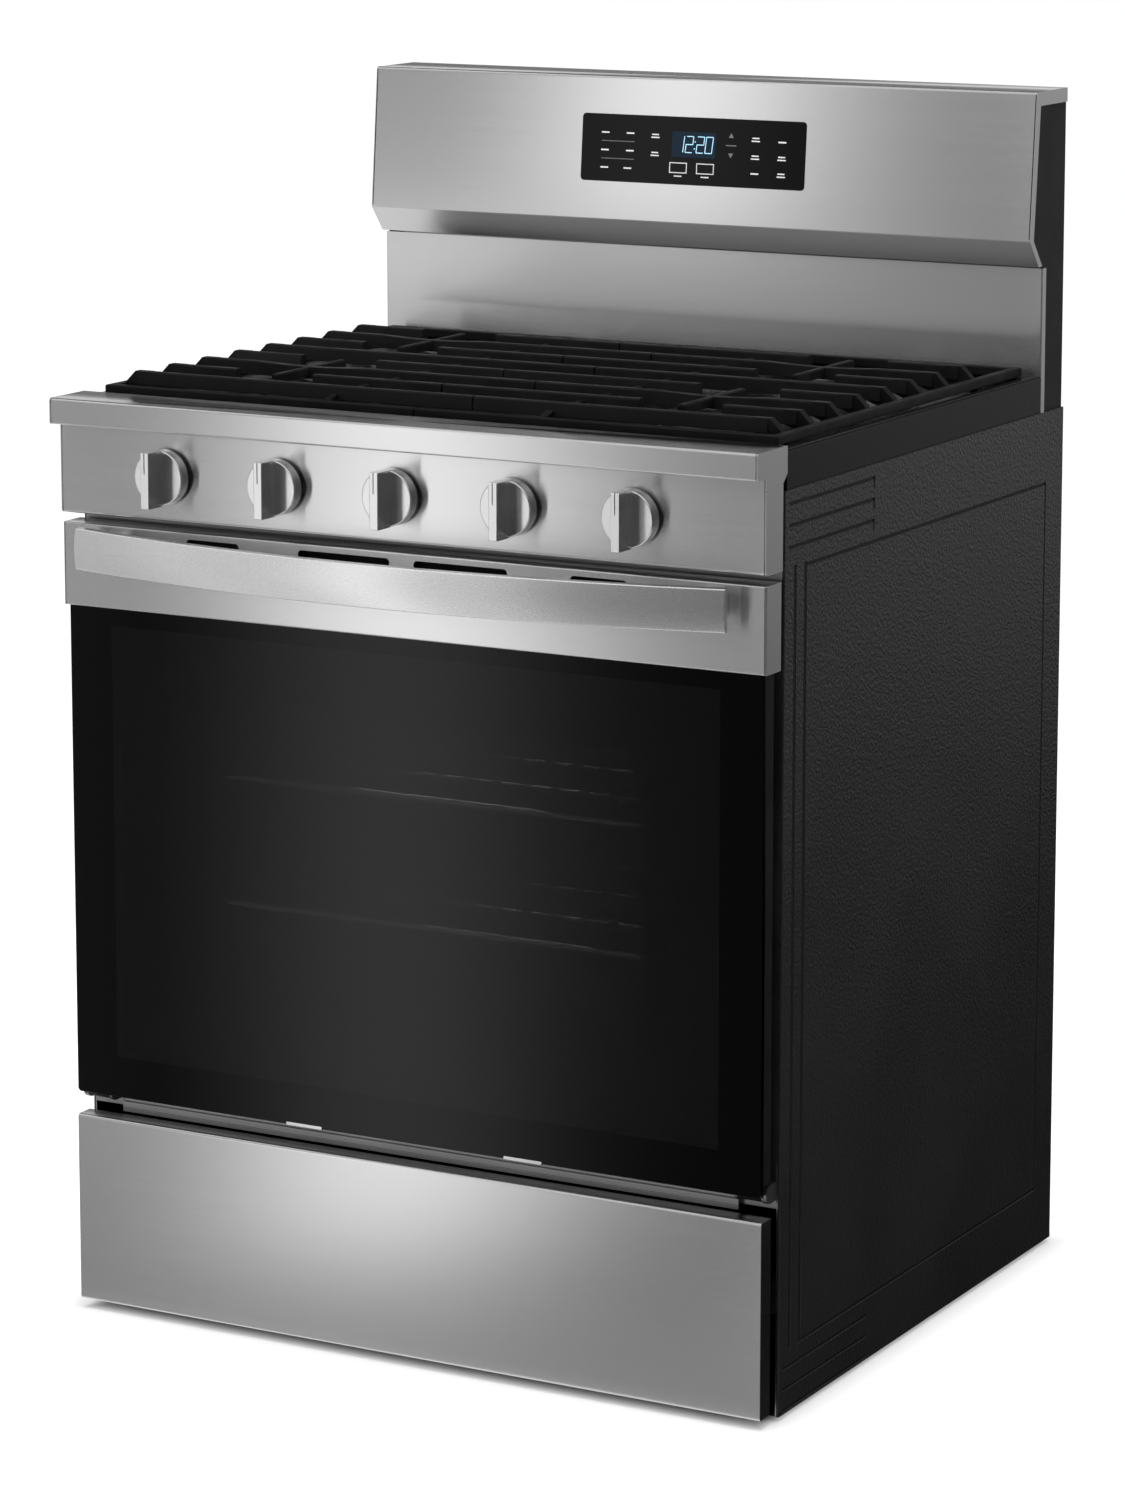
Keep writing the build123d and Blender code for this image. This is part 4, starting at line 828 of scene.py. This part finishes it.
@dataclass
class Console(SubAssembly):
    """Backsplash and console, with the display's lit marks, given in millimetres on its face."""

    centre: Vector = field(default_factory=lambda: Vector((0.0, 0.28635, 1.1203)))
    lean: float = math.atan2(0.0127, 0.1468)
    proud: float = 0.0006
    mark_depth: float = 0.00012
    digit_height: float = 16.5
    digit_width: float = 7.8
    stroke: float = 0.9
    slant: float = 0.1
    clock_text: str = "1220"
    digit_lefts: tuple[float, ...] = (-18.5, -8.0, 4.5, 14.5)
    digit_low: float = -1.5
    dot_x: float = 2.1
    dot_levels: tuple[float, ...] = (2.6, 9.6)
    dot_size: float = 1.2
    pane: tuple[float, ...] = (1.5, 6.5, 50.0, 26.0)
    single_labels: tuple[tuple[float, float], ...] = (
        (-101.0, 15.7), (-72.0, 15.7), (-101.0, -2.3), (-72.0, -2.3),
        (-101.0, -20.3), (-74.0, -20.3), (102.0, 13.0), (72.0, -20.0),
    )
    single_size: tuple[float, float] = (9.0, 1.5)
    double_labels: tuple[tuple[float, float], ...] = (
        (-43.0, 14.0), (-43.0, -4.5), (72.0, 14.5), (72.0, -3.5), (102.0, -3.5), (102.0, -20.5),
    )
    double_widths: tuple[float, float] = (8.0, 9.5)
    double_height: float = 1.3
    double_half_gap: float = 1.5
    key_columns: tuple[float, ...] = (-15.5, 15.5)
    key_level: float = -17.5
    key_size: tuple[float, float] = (20.0, 10.0)
    key_side: float = 9.6
    key_line: float = 0.9
    key_label: tuple[float, float, float] = (-26.0, 9.0, 1.2)
    arrow_x: float = 44.0
    arrows: tuple[tuple[float, float], ...] = ((17.0, 0.0), (-2.0, math.pi))
    arrow_radius: float = 3.2
    faint_bars: tuple[tuple[float, ...], ...] = (
        (-86.0, 7.0, 38.0, 0.7),
        (-86.0, -11.0, 38.0, 0.7),
        (44.0, 7.5, 12.0, 1.0),
    )
    seam_x: float = 377.2
    seam_width: float = 0.9
    face_height: float = 143.0

    def dress(self) -> None:
        """Put the finishes on the backsplash and console."""
        self.shop.dress(STEEL, "backsplash", "console_shell")
        self.shop.dress(BLACK_PAINT, "console_back")
        self.shop.dress(DISPLAY_GLASS, "display_glass")
        self.shop.dress(BOARD, "control_board")

    def face(self) -> Matrix:
        """Return the frame of the display's front: X right, Y up the face, Z out of it."""
        up = Vector((0.0, math.sin(self.lean), math.cos(self.lean)))
        out = Vector((0.0, -math.cos(self.lean), math.sin(self.lean)))
        turn = Matrix(((1.0, up.x, out.x), (0.0, up.y, out.y), (0.0, up.z, out.z))).to_4x4()
        return Matrix.Translation(self.centre + out * self.proud) @ turn

    def bar(self, work: BMesh, x: float, y: float, width: float, height: float) -> None:
        """Add one flat mark, given by its middle and size in millimetres.

        Args:
            work: the bmesh.
            x: middle, to the right.
            y: middle, up the face.
            width: size to the right.
            height: size up the face.
        """
        half = Vector((width / MILLIMETRES, height / MILLIMETRES, self.mark_depth)) / 2
        middle = Vector((x / MILLIMETRES, y / MILLIMETRES, 0.0))
        add_box(work, middle - half, middle + half)

    def digit(self, work: BMesh, shape: str, left: float, low: float) -> None:
        """Add one digit made of seven segments.

        Args:
            work: the bmesh.
            shape: the digit.
            left: left edge in millimetres.
            low: bottom edge in millimetres.
        """
        segments = {"0": "abcdef", "1": "bc", "2": "abged"}[shape]
        wide, tall, stroke = self.digit_width, self.digit_height, self.stroke
        places = {
            "a": (left + wide / 2, low + tall, wide, stroke),
            "g": (left + wide / 2, low + tall / 2, wide, stroke),
            "d": (left + wide / 2, low, wide, stroke),
            "f": (left, low + tall * 0.75, stroke, tall / 2),
            "b": (left + wide, low + tall * 0.75, stroke, tall / 2),
            "e": (left, low + tall * 0.25, stroke, tall / 2),
            "c": (left + wide, low + tall * 0.25, stroke, tall / 2),
        }
        for name in segments:
            self.bar(work, *places[name])

    def clock(self) -> None:
        """Add the clock's digits and the dim pane behind them."""
        work = bmesh.new()
        for shape, left in zip(self.clock_text, self.digit_lefts):
            self.digit(work, shape, left, self.digit_low)
        for y in self.dot_levels:
            self.bar(work, self.dot_x, y, self.dot_size, self.dot_size)
        slanted = Matrix.Identity(4)
        slanted[0][1] = self.slant
        place = self.face() @ slanted
        finish_piece(work, "clock_digits", "chassis", self.shop.material(CLOCK_GLOW), place)
        work = bmesh.new()
        self.bar(work, *self.pane)
        place = self.face() @ Matrix.Translation((0.0, 0.0, -self.mark_depth / 4))
        finish_piece(work, "clock_pane", "chassis", self.shop.material(PANE_GLOW), place)

    def labels(self) -> None:
        """Add the plain label marks, the arrows and the two outlined keys."""
        work = bmesh.new()
        for x, y in self.single_labels:
            self.bar(work, x, y, *self.single_size)
        upper, lower = self.double_widths
        for x, y in self.double_labels:
            self.bar(work, x, y + self.double_half_gap, upper, self.double_height)
            self.bar(work, x, y - self.double_half_gap, lower, self.double_height)
        wide, tall = self.key_size
        label_y, label_width, label_height = self.key_label
        for x in self.key_columns:
            for side in (-1, 1):
                self.bar(work, x, self.key_level + side * tall / 2, wide, self.key_line)
            for side in (-1, 1):
                self.bar(work, x + side * self.key_side, self.key_level, self.key_line, tall)
            self.bar(work, x, label_y, label_width, label_height)
        lit = self.shop.material(LABEL_GLOW)
        finish_piece(work, "label_marks", "chassis", lit, self.face())
        work = bmesh.new()
        radius = self.arrow_radius / MILLIMETRES
        for y, turn in self.arrows:
            spot = Matrix.Translation((self.arrow_x / MILLIMETRES, y / MILLIMETRES, 0.0))
            bmesh.ops.create_cone(
                work, cap_ends=True, segments=3, radius1=radius, radius2=radius,
                depth=self.mark_depth, matrix=spot @ Matrix.Rotation(turn, 4, "Z"),
            )
        for faint_bar in self.faint_bars:
            self.bar(work, *faint_bar)
        faint = self.shop.material(FAINT_GLOW)
        finish_piece(work, "faint_marks", "chassis", faint, self.face())

    def seam_shade_strips(self) -> None:
        """Add thin black strips of painted shade along the seams between the console's face and its end
        bands.
        """
        work = bmesh.new()
        for side in (-1, 1):
            self.bar(work, side * self.seam_x, 0.0, self.seam_width, self.face_height)
        place = self.face() @ Matrix.Translation((0.0, 0.0, self.mark_depth / 2 - self.proud))
        # The black strips stand for the shade in the seams' gaps: painted shade.
        finish_piece(work, "console_seam_shade", "chassis", self.shop.material(BLACK_PAINT), place)

    def build(self) -> None:
        """Add everything that the display shows, and the painted shade along the console's seams."""
        self.clock()
        self.labels()
        self.seam_shade_strips()


@dataclass(frozen=True)
class Card:
    """One flat studio card that shows only in reflections and through glass."""

    name: str
    middle: tuple[float, float, float]
    facing: tuple[float, float, float]
    size: tuple[float, float]
    edge_light: float
    centre_light: float
    spread: float
    centre_x: float = 0.0
    fade_low: float = NO_FADE
    fade_high: float = NO_FADE + 1.0


@dataclass(frozen=True)
class Lamp:
    """One soft rectangular lamp, in metres, watts and degrees of its beam."""

    name: str
    place: tuple[float, float, float]
    target: tuple[float, float, float]
    size: tuple[float, float]
    power: float
    shine: bool = False
    spread: float = 180.0


@dataclass
class Studio:
    """Pale floor, white surroundings, soft lamps, reflection cards and the camera."""

    floor_size: float = 40.0
    floor_lift: float = 0.8
    base_front: float = -0.296
    shadow_reach: float = 0.06
    shadow_edge: float = 0.02
    floor_tone: float = 0.8
    seen_light: float = 1.0
    fill_light: float = 0.3
    clip_end: float = 100.0
    camera_place: Vector = field(default_factory=lambda: Vector((2.3163, -4.1984, 1.5582)))
    camera_yaw: float = 28.822
    camera_pitch: float = 9.455
    focal_pixels: float = 4944.1
    image_height: float = 1500.0
    optical_row: float = 540.0
    sensor: float = 36.0
    cards: tuple[Card, ...] = (
        Card("front_glow_card", (-1.64, -5.56, 0.5), (0.483, 0.875, 0.0), (6.5, 9.0), 0.17, 1.85, 0.225, 1.3),
        Card("left_fill_card", (-3.3, -3.8, 0.5), (0.692, 0.722, 0.0), (1.1, 6.0), 0.22, 0.58, 0.35),
        Card("right_fill_card", (-1.42, -4.79, 0.5), (0.3, 0.954, 0.0), (0.6, 6.0), 0.14, 0.95, 0.2),
        Card("left_flag", (-6.2, -1.9, 0.5), (0.956, 0.292, 0.0), (5.0, 9.0), 0.42, 0.42, 1.0),
        Card("floor_flag", (0.0, -0.46, 0.003), (0.0, 0.0, 1.0), (2.6, 0.3), 0.32, 0.32, 1.0),
        Card("side_flag", (3.2, 3.6, -0.2), (-0.6, -0.8, 0.0), (9.0, 6.4), 0.0, 0.45, 40.0, 0.0, -0.6, 0.8),
        Card("right_flag", (7.5, -1.4, 0.5), (-1.0, 0.15, 0.0), (9.0, 9.0), 0.03, 0.03, 1.0),
        Card("top_flag", (-0.8, 3.4, 3.2), (0.15, -0.75, -0.6), (8.0, 6.0), 0.05, 0.9, 40.0, 0.0, -0.8, -2.6),
        Card("camera_flag", (3.7, -6.6, 0.5), (-0.483, 0.875, 0.0), (7.0, 9.0), 0.03, 0.03, 1.0),
        Card("splash_card", (-0.23, -0.07, 0.97), (0.0, 1.0, 0.0), (0.9, 0.14), 0.35, 1.35, 0.24, 0.37),
        Card("cooktop_card", (0.0, 0.02, 0.945), (0.0, 0.0, 1.0), (0.72, 0.53), 0.3, 0.3, 1.0),
    )
    lamps: tuple[Lamp, ...] = (
        Lamp("top_softbox", (0.2, -0.6, 3.2), (0.0, 0.0, 0.6), (2.6, 2.6), 70.0),
        Lamp("right_softbox", (2.0, 0.5, 1.7), (0.38, 0.05, 0.95), (0.9, 0.9), 2.0, spread=50.0),
        Lamp("oven_light", (-0.05, -0.2, 0.66), (-0.05, -0.2, 0.46), (0.2, 0.04), 0.07, shine=True),
        Lamp("front_softbox", (-1.6, -3.2, 2.2), (0.0, 0.0, 0.6), (1.6, 2.4), 12.0),
    )

    def seen_rays(self, tree: Tree) -> Socket:
        """Add a value that is 1 for camera, glossy and transmission rays.

        Args:
            tree: the tree to add to.

        Returns:
            The value.
        """
        rays = tree.nodes.new("ShaderNodeLightPath").outputs
        direct = self.maths(tree, "MAXIMUM", rays["Is Camera Ray"], rays["Is Glossy Ray"])
        return self.maths(tree, "MAXIMUM", direct, rays["Is Transmission Ray"])

    def world(self) -> None:
        """White surroundings where they are seen, and softer light from all sides."""
        world = bpy.data.worlds.new("studio_world")
        bpy.context.scene.world = world
        world.use_nodes = True
        tree = world.node_tree
        background = tree.nodes["Background"]
        background.inputs["Color"].default_value = (1.0, 1.0, 1.0, 1.0)
        strength = tree.nodes.new("ShaderNodeMapRange")
        strength.inputs["To Min"].default_value = self.fill_light
        strength.inputs["To Max"].default_value = self.seen_light
        tree.links.new(self.seen_rays(tree), strength.inputs["Value"])
        tree.links.new(strength.outputs["Result"], background.inputs["Strength"])

    @staticmethod
    def sheet(name: str, size: tuple[float, float], place: Matrix) -> bpy.types.Object:
        """Add a flat rectangle that belongs to the studio.

        Args:
            name: name of the object.
            size: width and height in metres.
            place: where it stands.

        Returns:
            The object.
        """
        work = bmesh.new()
        bmesh.ops.create_grid(work, x_segments=1, y_segments=1, size=0.5)
        bmesh.ops.scale(work, vec=(size[0], size[1], 1.0), verts=work.verts)
        mesh = bpy.data.meshes.new(name)
        work.to_mesh(mesh)
        work.free()
        sheet = bpy.data.objects.new(name, mesh)
        sheet.matrix_world = place
        bpy.context.scene.collection.objects.link(sheet)
        return sheet

    def painted_shade_fade(self, tree: Tree) -> Socket:
        """Add a value that is 0 under the range and grows to 1 away from its base; where it is low the floor
        loses its lift, which paints shade around the base in the shape of its footprint.

        Args:
            tree: the tree to add to.

        Returns:
            The value.
        """
        low, high = CAD_BOX
        coords = tree.nodes.new("ShaderNodeTexCoord")
        split = tree.nodes.new("ShaderNodeSeparateXYZ")
        tree.links.new(coords.outputs["Object"], split.inputs[0])
        beyond = []
        for axis, start, stop in (("X", low.x, high.x), ("Y", self.base_front, high.y)):
            off = self.maths(tree, "SUBTRACT", split.outputs[axis], (start + stop) / 2)
            far = self.maths(tree, "ABSOLUTE", off, 0.0)
            beyond.append(self.maths(tree, "SUBTRACT", far, (stop - start) / 2))
        away = self.maths(tree, "MAXIMUM", *beyond)
        edge = TextureGroups.ramp(tree, away, -self.shadow_edge, 0.0)
        fade = TextureGroups.ramp(tree, away, -self.shadow_reach, self.shadow_reach)
        return self.maths(tree, "MULTIPLY", edge, fade)

    def floor(self) -> None:
        """Pale floor that stays near white where it is seen and keeps the range's real shadow, with painted
        shade added where its lift fades near the base.
        """
        floor = self.sheet("studio_floor", (self.floor_size, self.floor_size), Matrix())
        floor.visible_glossy = False
        material = bpy.data.materials.new("pale_floor")
        material.use_nodes = True
        tree = material.node_tree
        tree.nodes.remove(tree.nodes["Principled BSDF"])
        matte = tree.nodes.new("ShaderNodeBsdfDiffuse")
        matte.inputs["Color"].default_value = (self.floor_tone, self.floor_tone, self.floor_tone, 1.0)
        lift = tree.nodes.new("ShaderNodeEmission")
        # The lift fades out near the base, so the floor there is darker: painted shade around the footprint,
        # on top of the real shadow.
        lifted = self.maths(tree, "MULTIPLY", self.painted_shade_fade(tree), self.floor_lift)
        strength = self.maths(tree, "MULTIPLY", self.seen_rays(tree), lifted)
        tree.links.new(strength, lift.inputs["Strength"])
        both = tree.nodes.new("ShaderNodeAddShader")
        tree.links.new(matte.outputs[0], both.inputs[0])
        tree.links.new(lift.outputs[0], both.inputs[1])
        tree.links.new(both.outputs[0], tree.nodes["Material Output"].inputs["Surface"])
        floor.data.materials.append(material)

    def card(self, card: Card) -> None:
        """Stand one card up where only reflections and rays through glass meet its front.

        Args:
            card: the card.
        """
        facing = Vector(card.facing).normalized()
        place = Matrix.Translation(card.middle) @ facing.to_track_quat("Z", "Y").to_matrix().to_4x4()
        sheet = self.sheet(card.name, card.size, place)
        sheet.visible_camera = False
        sheet.visible_diffuse = False
        sheet.visible_shadow = False
        material = bpy.data.materials.new(card.name)
        material.use_nodes = True
        tree = material.node_tree
        tree.nodes.remove(tree.nodes["Principled BSDF"])
        coords = tree.nodes.new("ShaderNodeTexCoord")
        split = tree.nodes.new("ShaderNodeSeparateXYZ")
        tree.links.new(coords.outputs["Object"], split.inputs[0])
        offset = self.maths(tree, "SUBTRACT", split.outputs["X"], card.centre_x)
        scaled = self.maths(tree, "DIVIDE", offset, card.spread)
        square = self.maths(tree, "POWER", self.maths(tree, "ABSOLUTE", scaled, 0.0), 2.0)
        bell = self.maths(tree, "POWER", math.e, self.maths(tree, "MULTIPLY", square, -0.5))
        rise = TextureGroups.ramp(tree, split.outputs["Y"], card.fade_low, card.fade_high)
        shaped = self.maths(tree, "MULTIPLY", bell, rise)
        light = tree.nodes.new("ShaderNodeMapRange")
        light.inputs["To Min"].default_value = card.edge_light
        light.inputs["To Max"].default_value = card.centre_light
        tree.links.new(shaped, light.inputs["Value"])
        glow = tree.nodes.new("ShaderNodeEmission")
        tree.links.new(light.outputs["Result"], glow.inputs["Strength"])
        rear = tree.nodes.new("ShaderNodeBsdfTransparent")
        sides = tree.nodes.new("ShaderNodeMixShader")
        geometry = tree.nodes.new("ShaderNodeNewGeometry")
        tree.links.new(geometry.outputs["Backfacing"], sides.inputs["Fac"])
        tree.links.new(glow.outputs[0], sides.inputs[1])
        tree.links.new(rear.outputs[0], sides.inputs[2])
        tree.links.new(sides.outputs[0], tree.nodes["Material Output"].inputs["Surface"])
        sheet.data.materials.append(material)

    @staticmethod
    def maths(tree: Tree, operation: str, first: Socket | float, second: Socket | float) -> Socket:
        """Add one maths step.

        Args:
            tree: the tree to add to.
            operation: Blender's name of the operation.
            first: first value or socket.
            second: second value or socket.

        Returns:
            The result.
        """
        node = tree.nodes.new("ShaderNodeMath")
        node.operation = operation
        for slot, value in enumerate((first, second)):
            if isinstance(value, Socket):
                tree.links.new(value, node.inputs[slot])
            else:
                node.inputs[slot].default_value = value
        return node.outputs[0]

    @staticmethod
    def lamp(lamp: Lamp) -> None:
        """Hang one soft lamp.

        Args:
            lamp: the lamp.
        """
        data = bpy.data.lights.new(lamp.name, "AREA")
        data.shape = "RECTANGLE"
        data.size, data.size_y = lamp.size
        data.energy = lamp.power
        data.spread = math.radians(lamp.spread)
        holder = bpy.data.objects.new(lamp.name, data)
        holder.location = lamp.place
        facing = Vector(lamp.target) - Vector(lamp.place)
        holder.rotation_euler = facing.to_track_quat("-Z", "Y").to_euler()
        holder.visible_camera = False
        holder.visible_glossy = lamp.shine
        bpy.context.scene.collection.objects.link(holder)

    def camera(self) -> None:
        """Place the camera at the photograph's angle."""
        data = bpy.data.cameras.new("photo_camera")
        data.sensor_width = self.sensor
        data.lens = self.focal_pixels * self.sensor / self.image_height
        data.shift_y = (self.optical_row - self.image_height / 2) / self.image_height
        data.clip_end = self.clip_end
        camera = bpy.data.objects.new("photo_camera", data)
        camera.location = self.camera_place
        camera.rotation_euler = (math.radians(90.0 - self.camera_pitch), 0.0, math.radians(self.camera_yaw))
        bpy.context.scene.collection.objects.link(camera)
        bpy.context.scene.camera = camera

    def build(self) -> None:
        """Set up the whole studio."""
        self.world()
        self.floor()
        for card in self.cards:
            self.card(card)
        for lamp in self.lamps:
            self.lamp(lamp)
        self.camera()
        bpy.context.scene.view_settings.view_transform = "Standard"


def main() -> None:
    """Dress the range, add its small pieces and set up the studio."""
    logging.basicConfig(level=logging.INFO, format="%(name)s: %(message)s")
    shop = FinishShop()
    for group in (Body, OvenInside, Door, Drawer, Cooktop, ControlRow, Console):
        part = group(shop)
        part.dress()
        part.build()
    Studio().build()


if __name__ == "__main__":
    main()
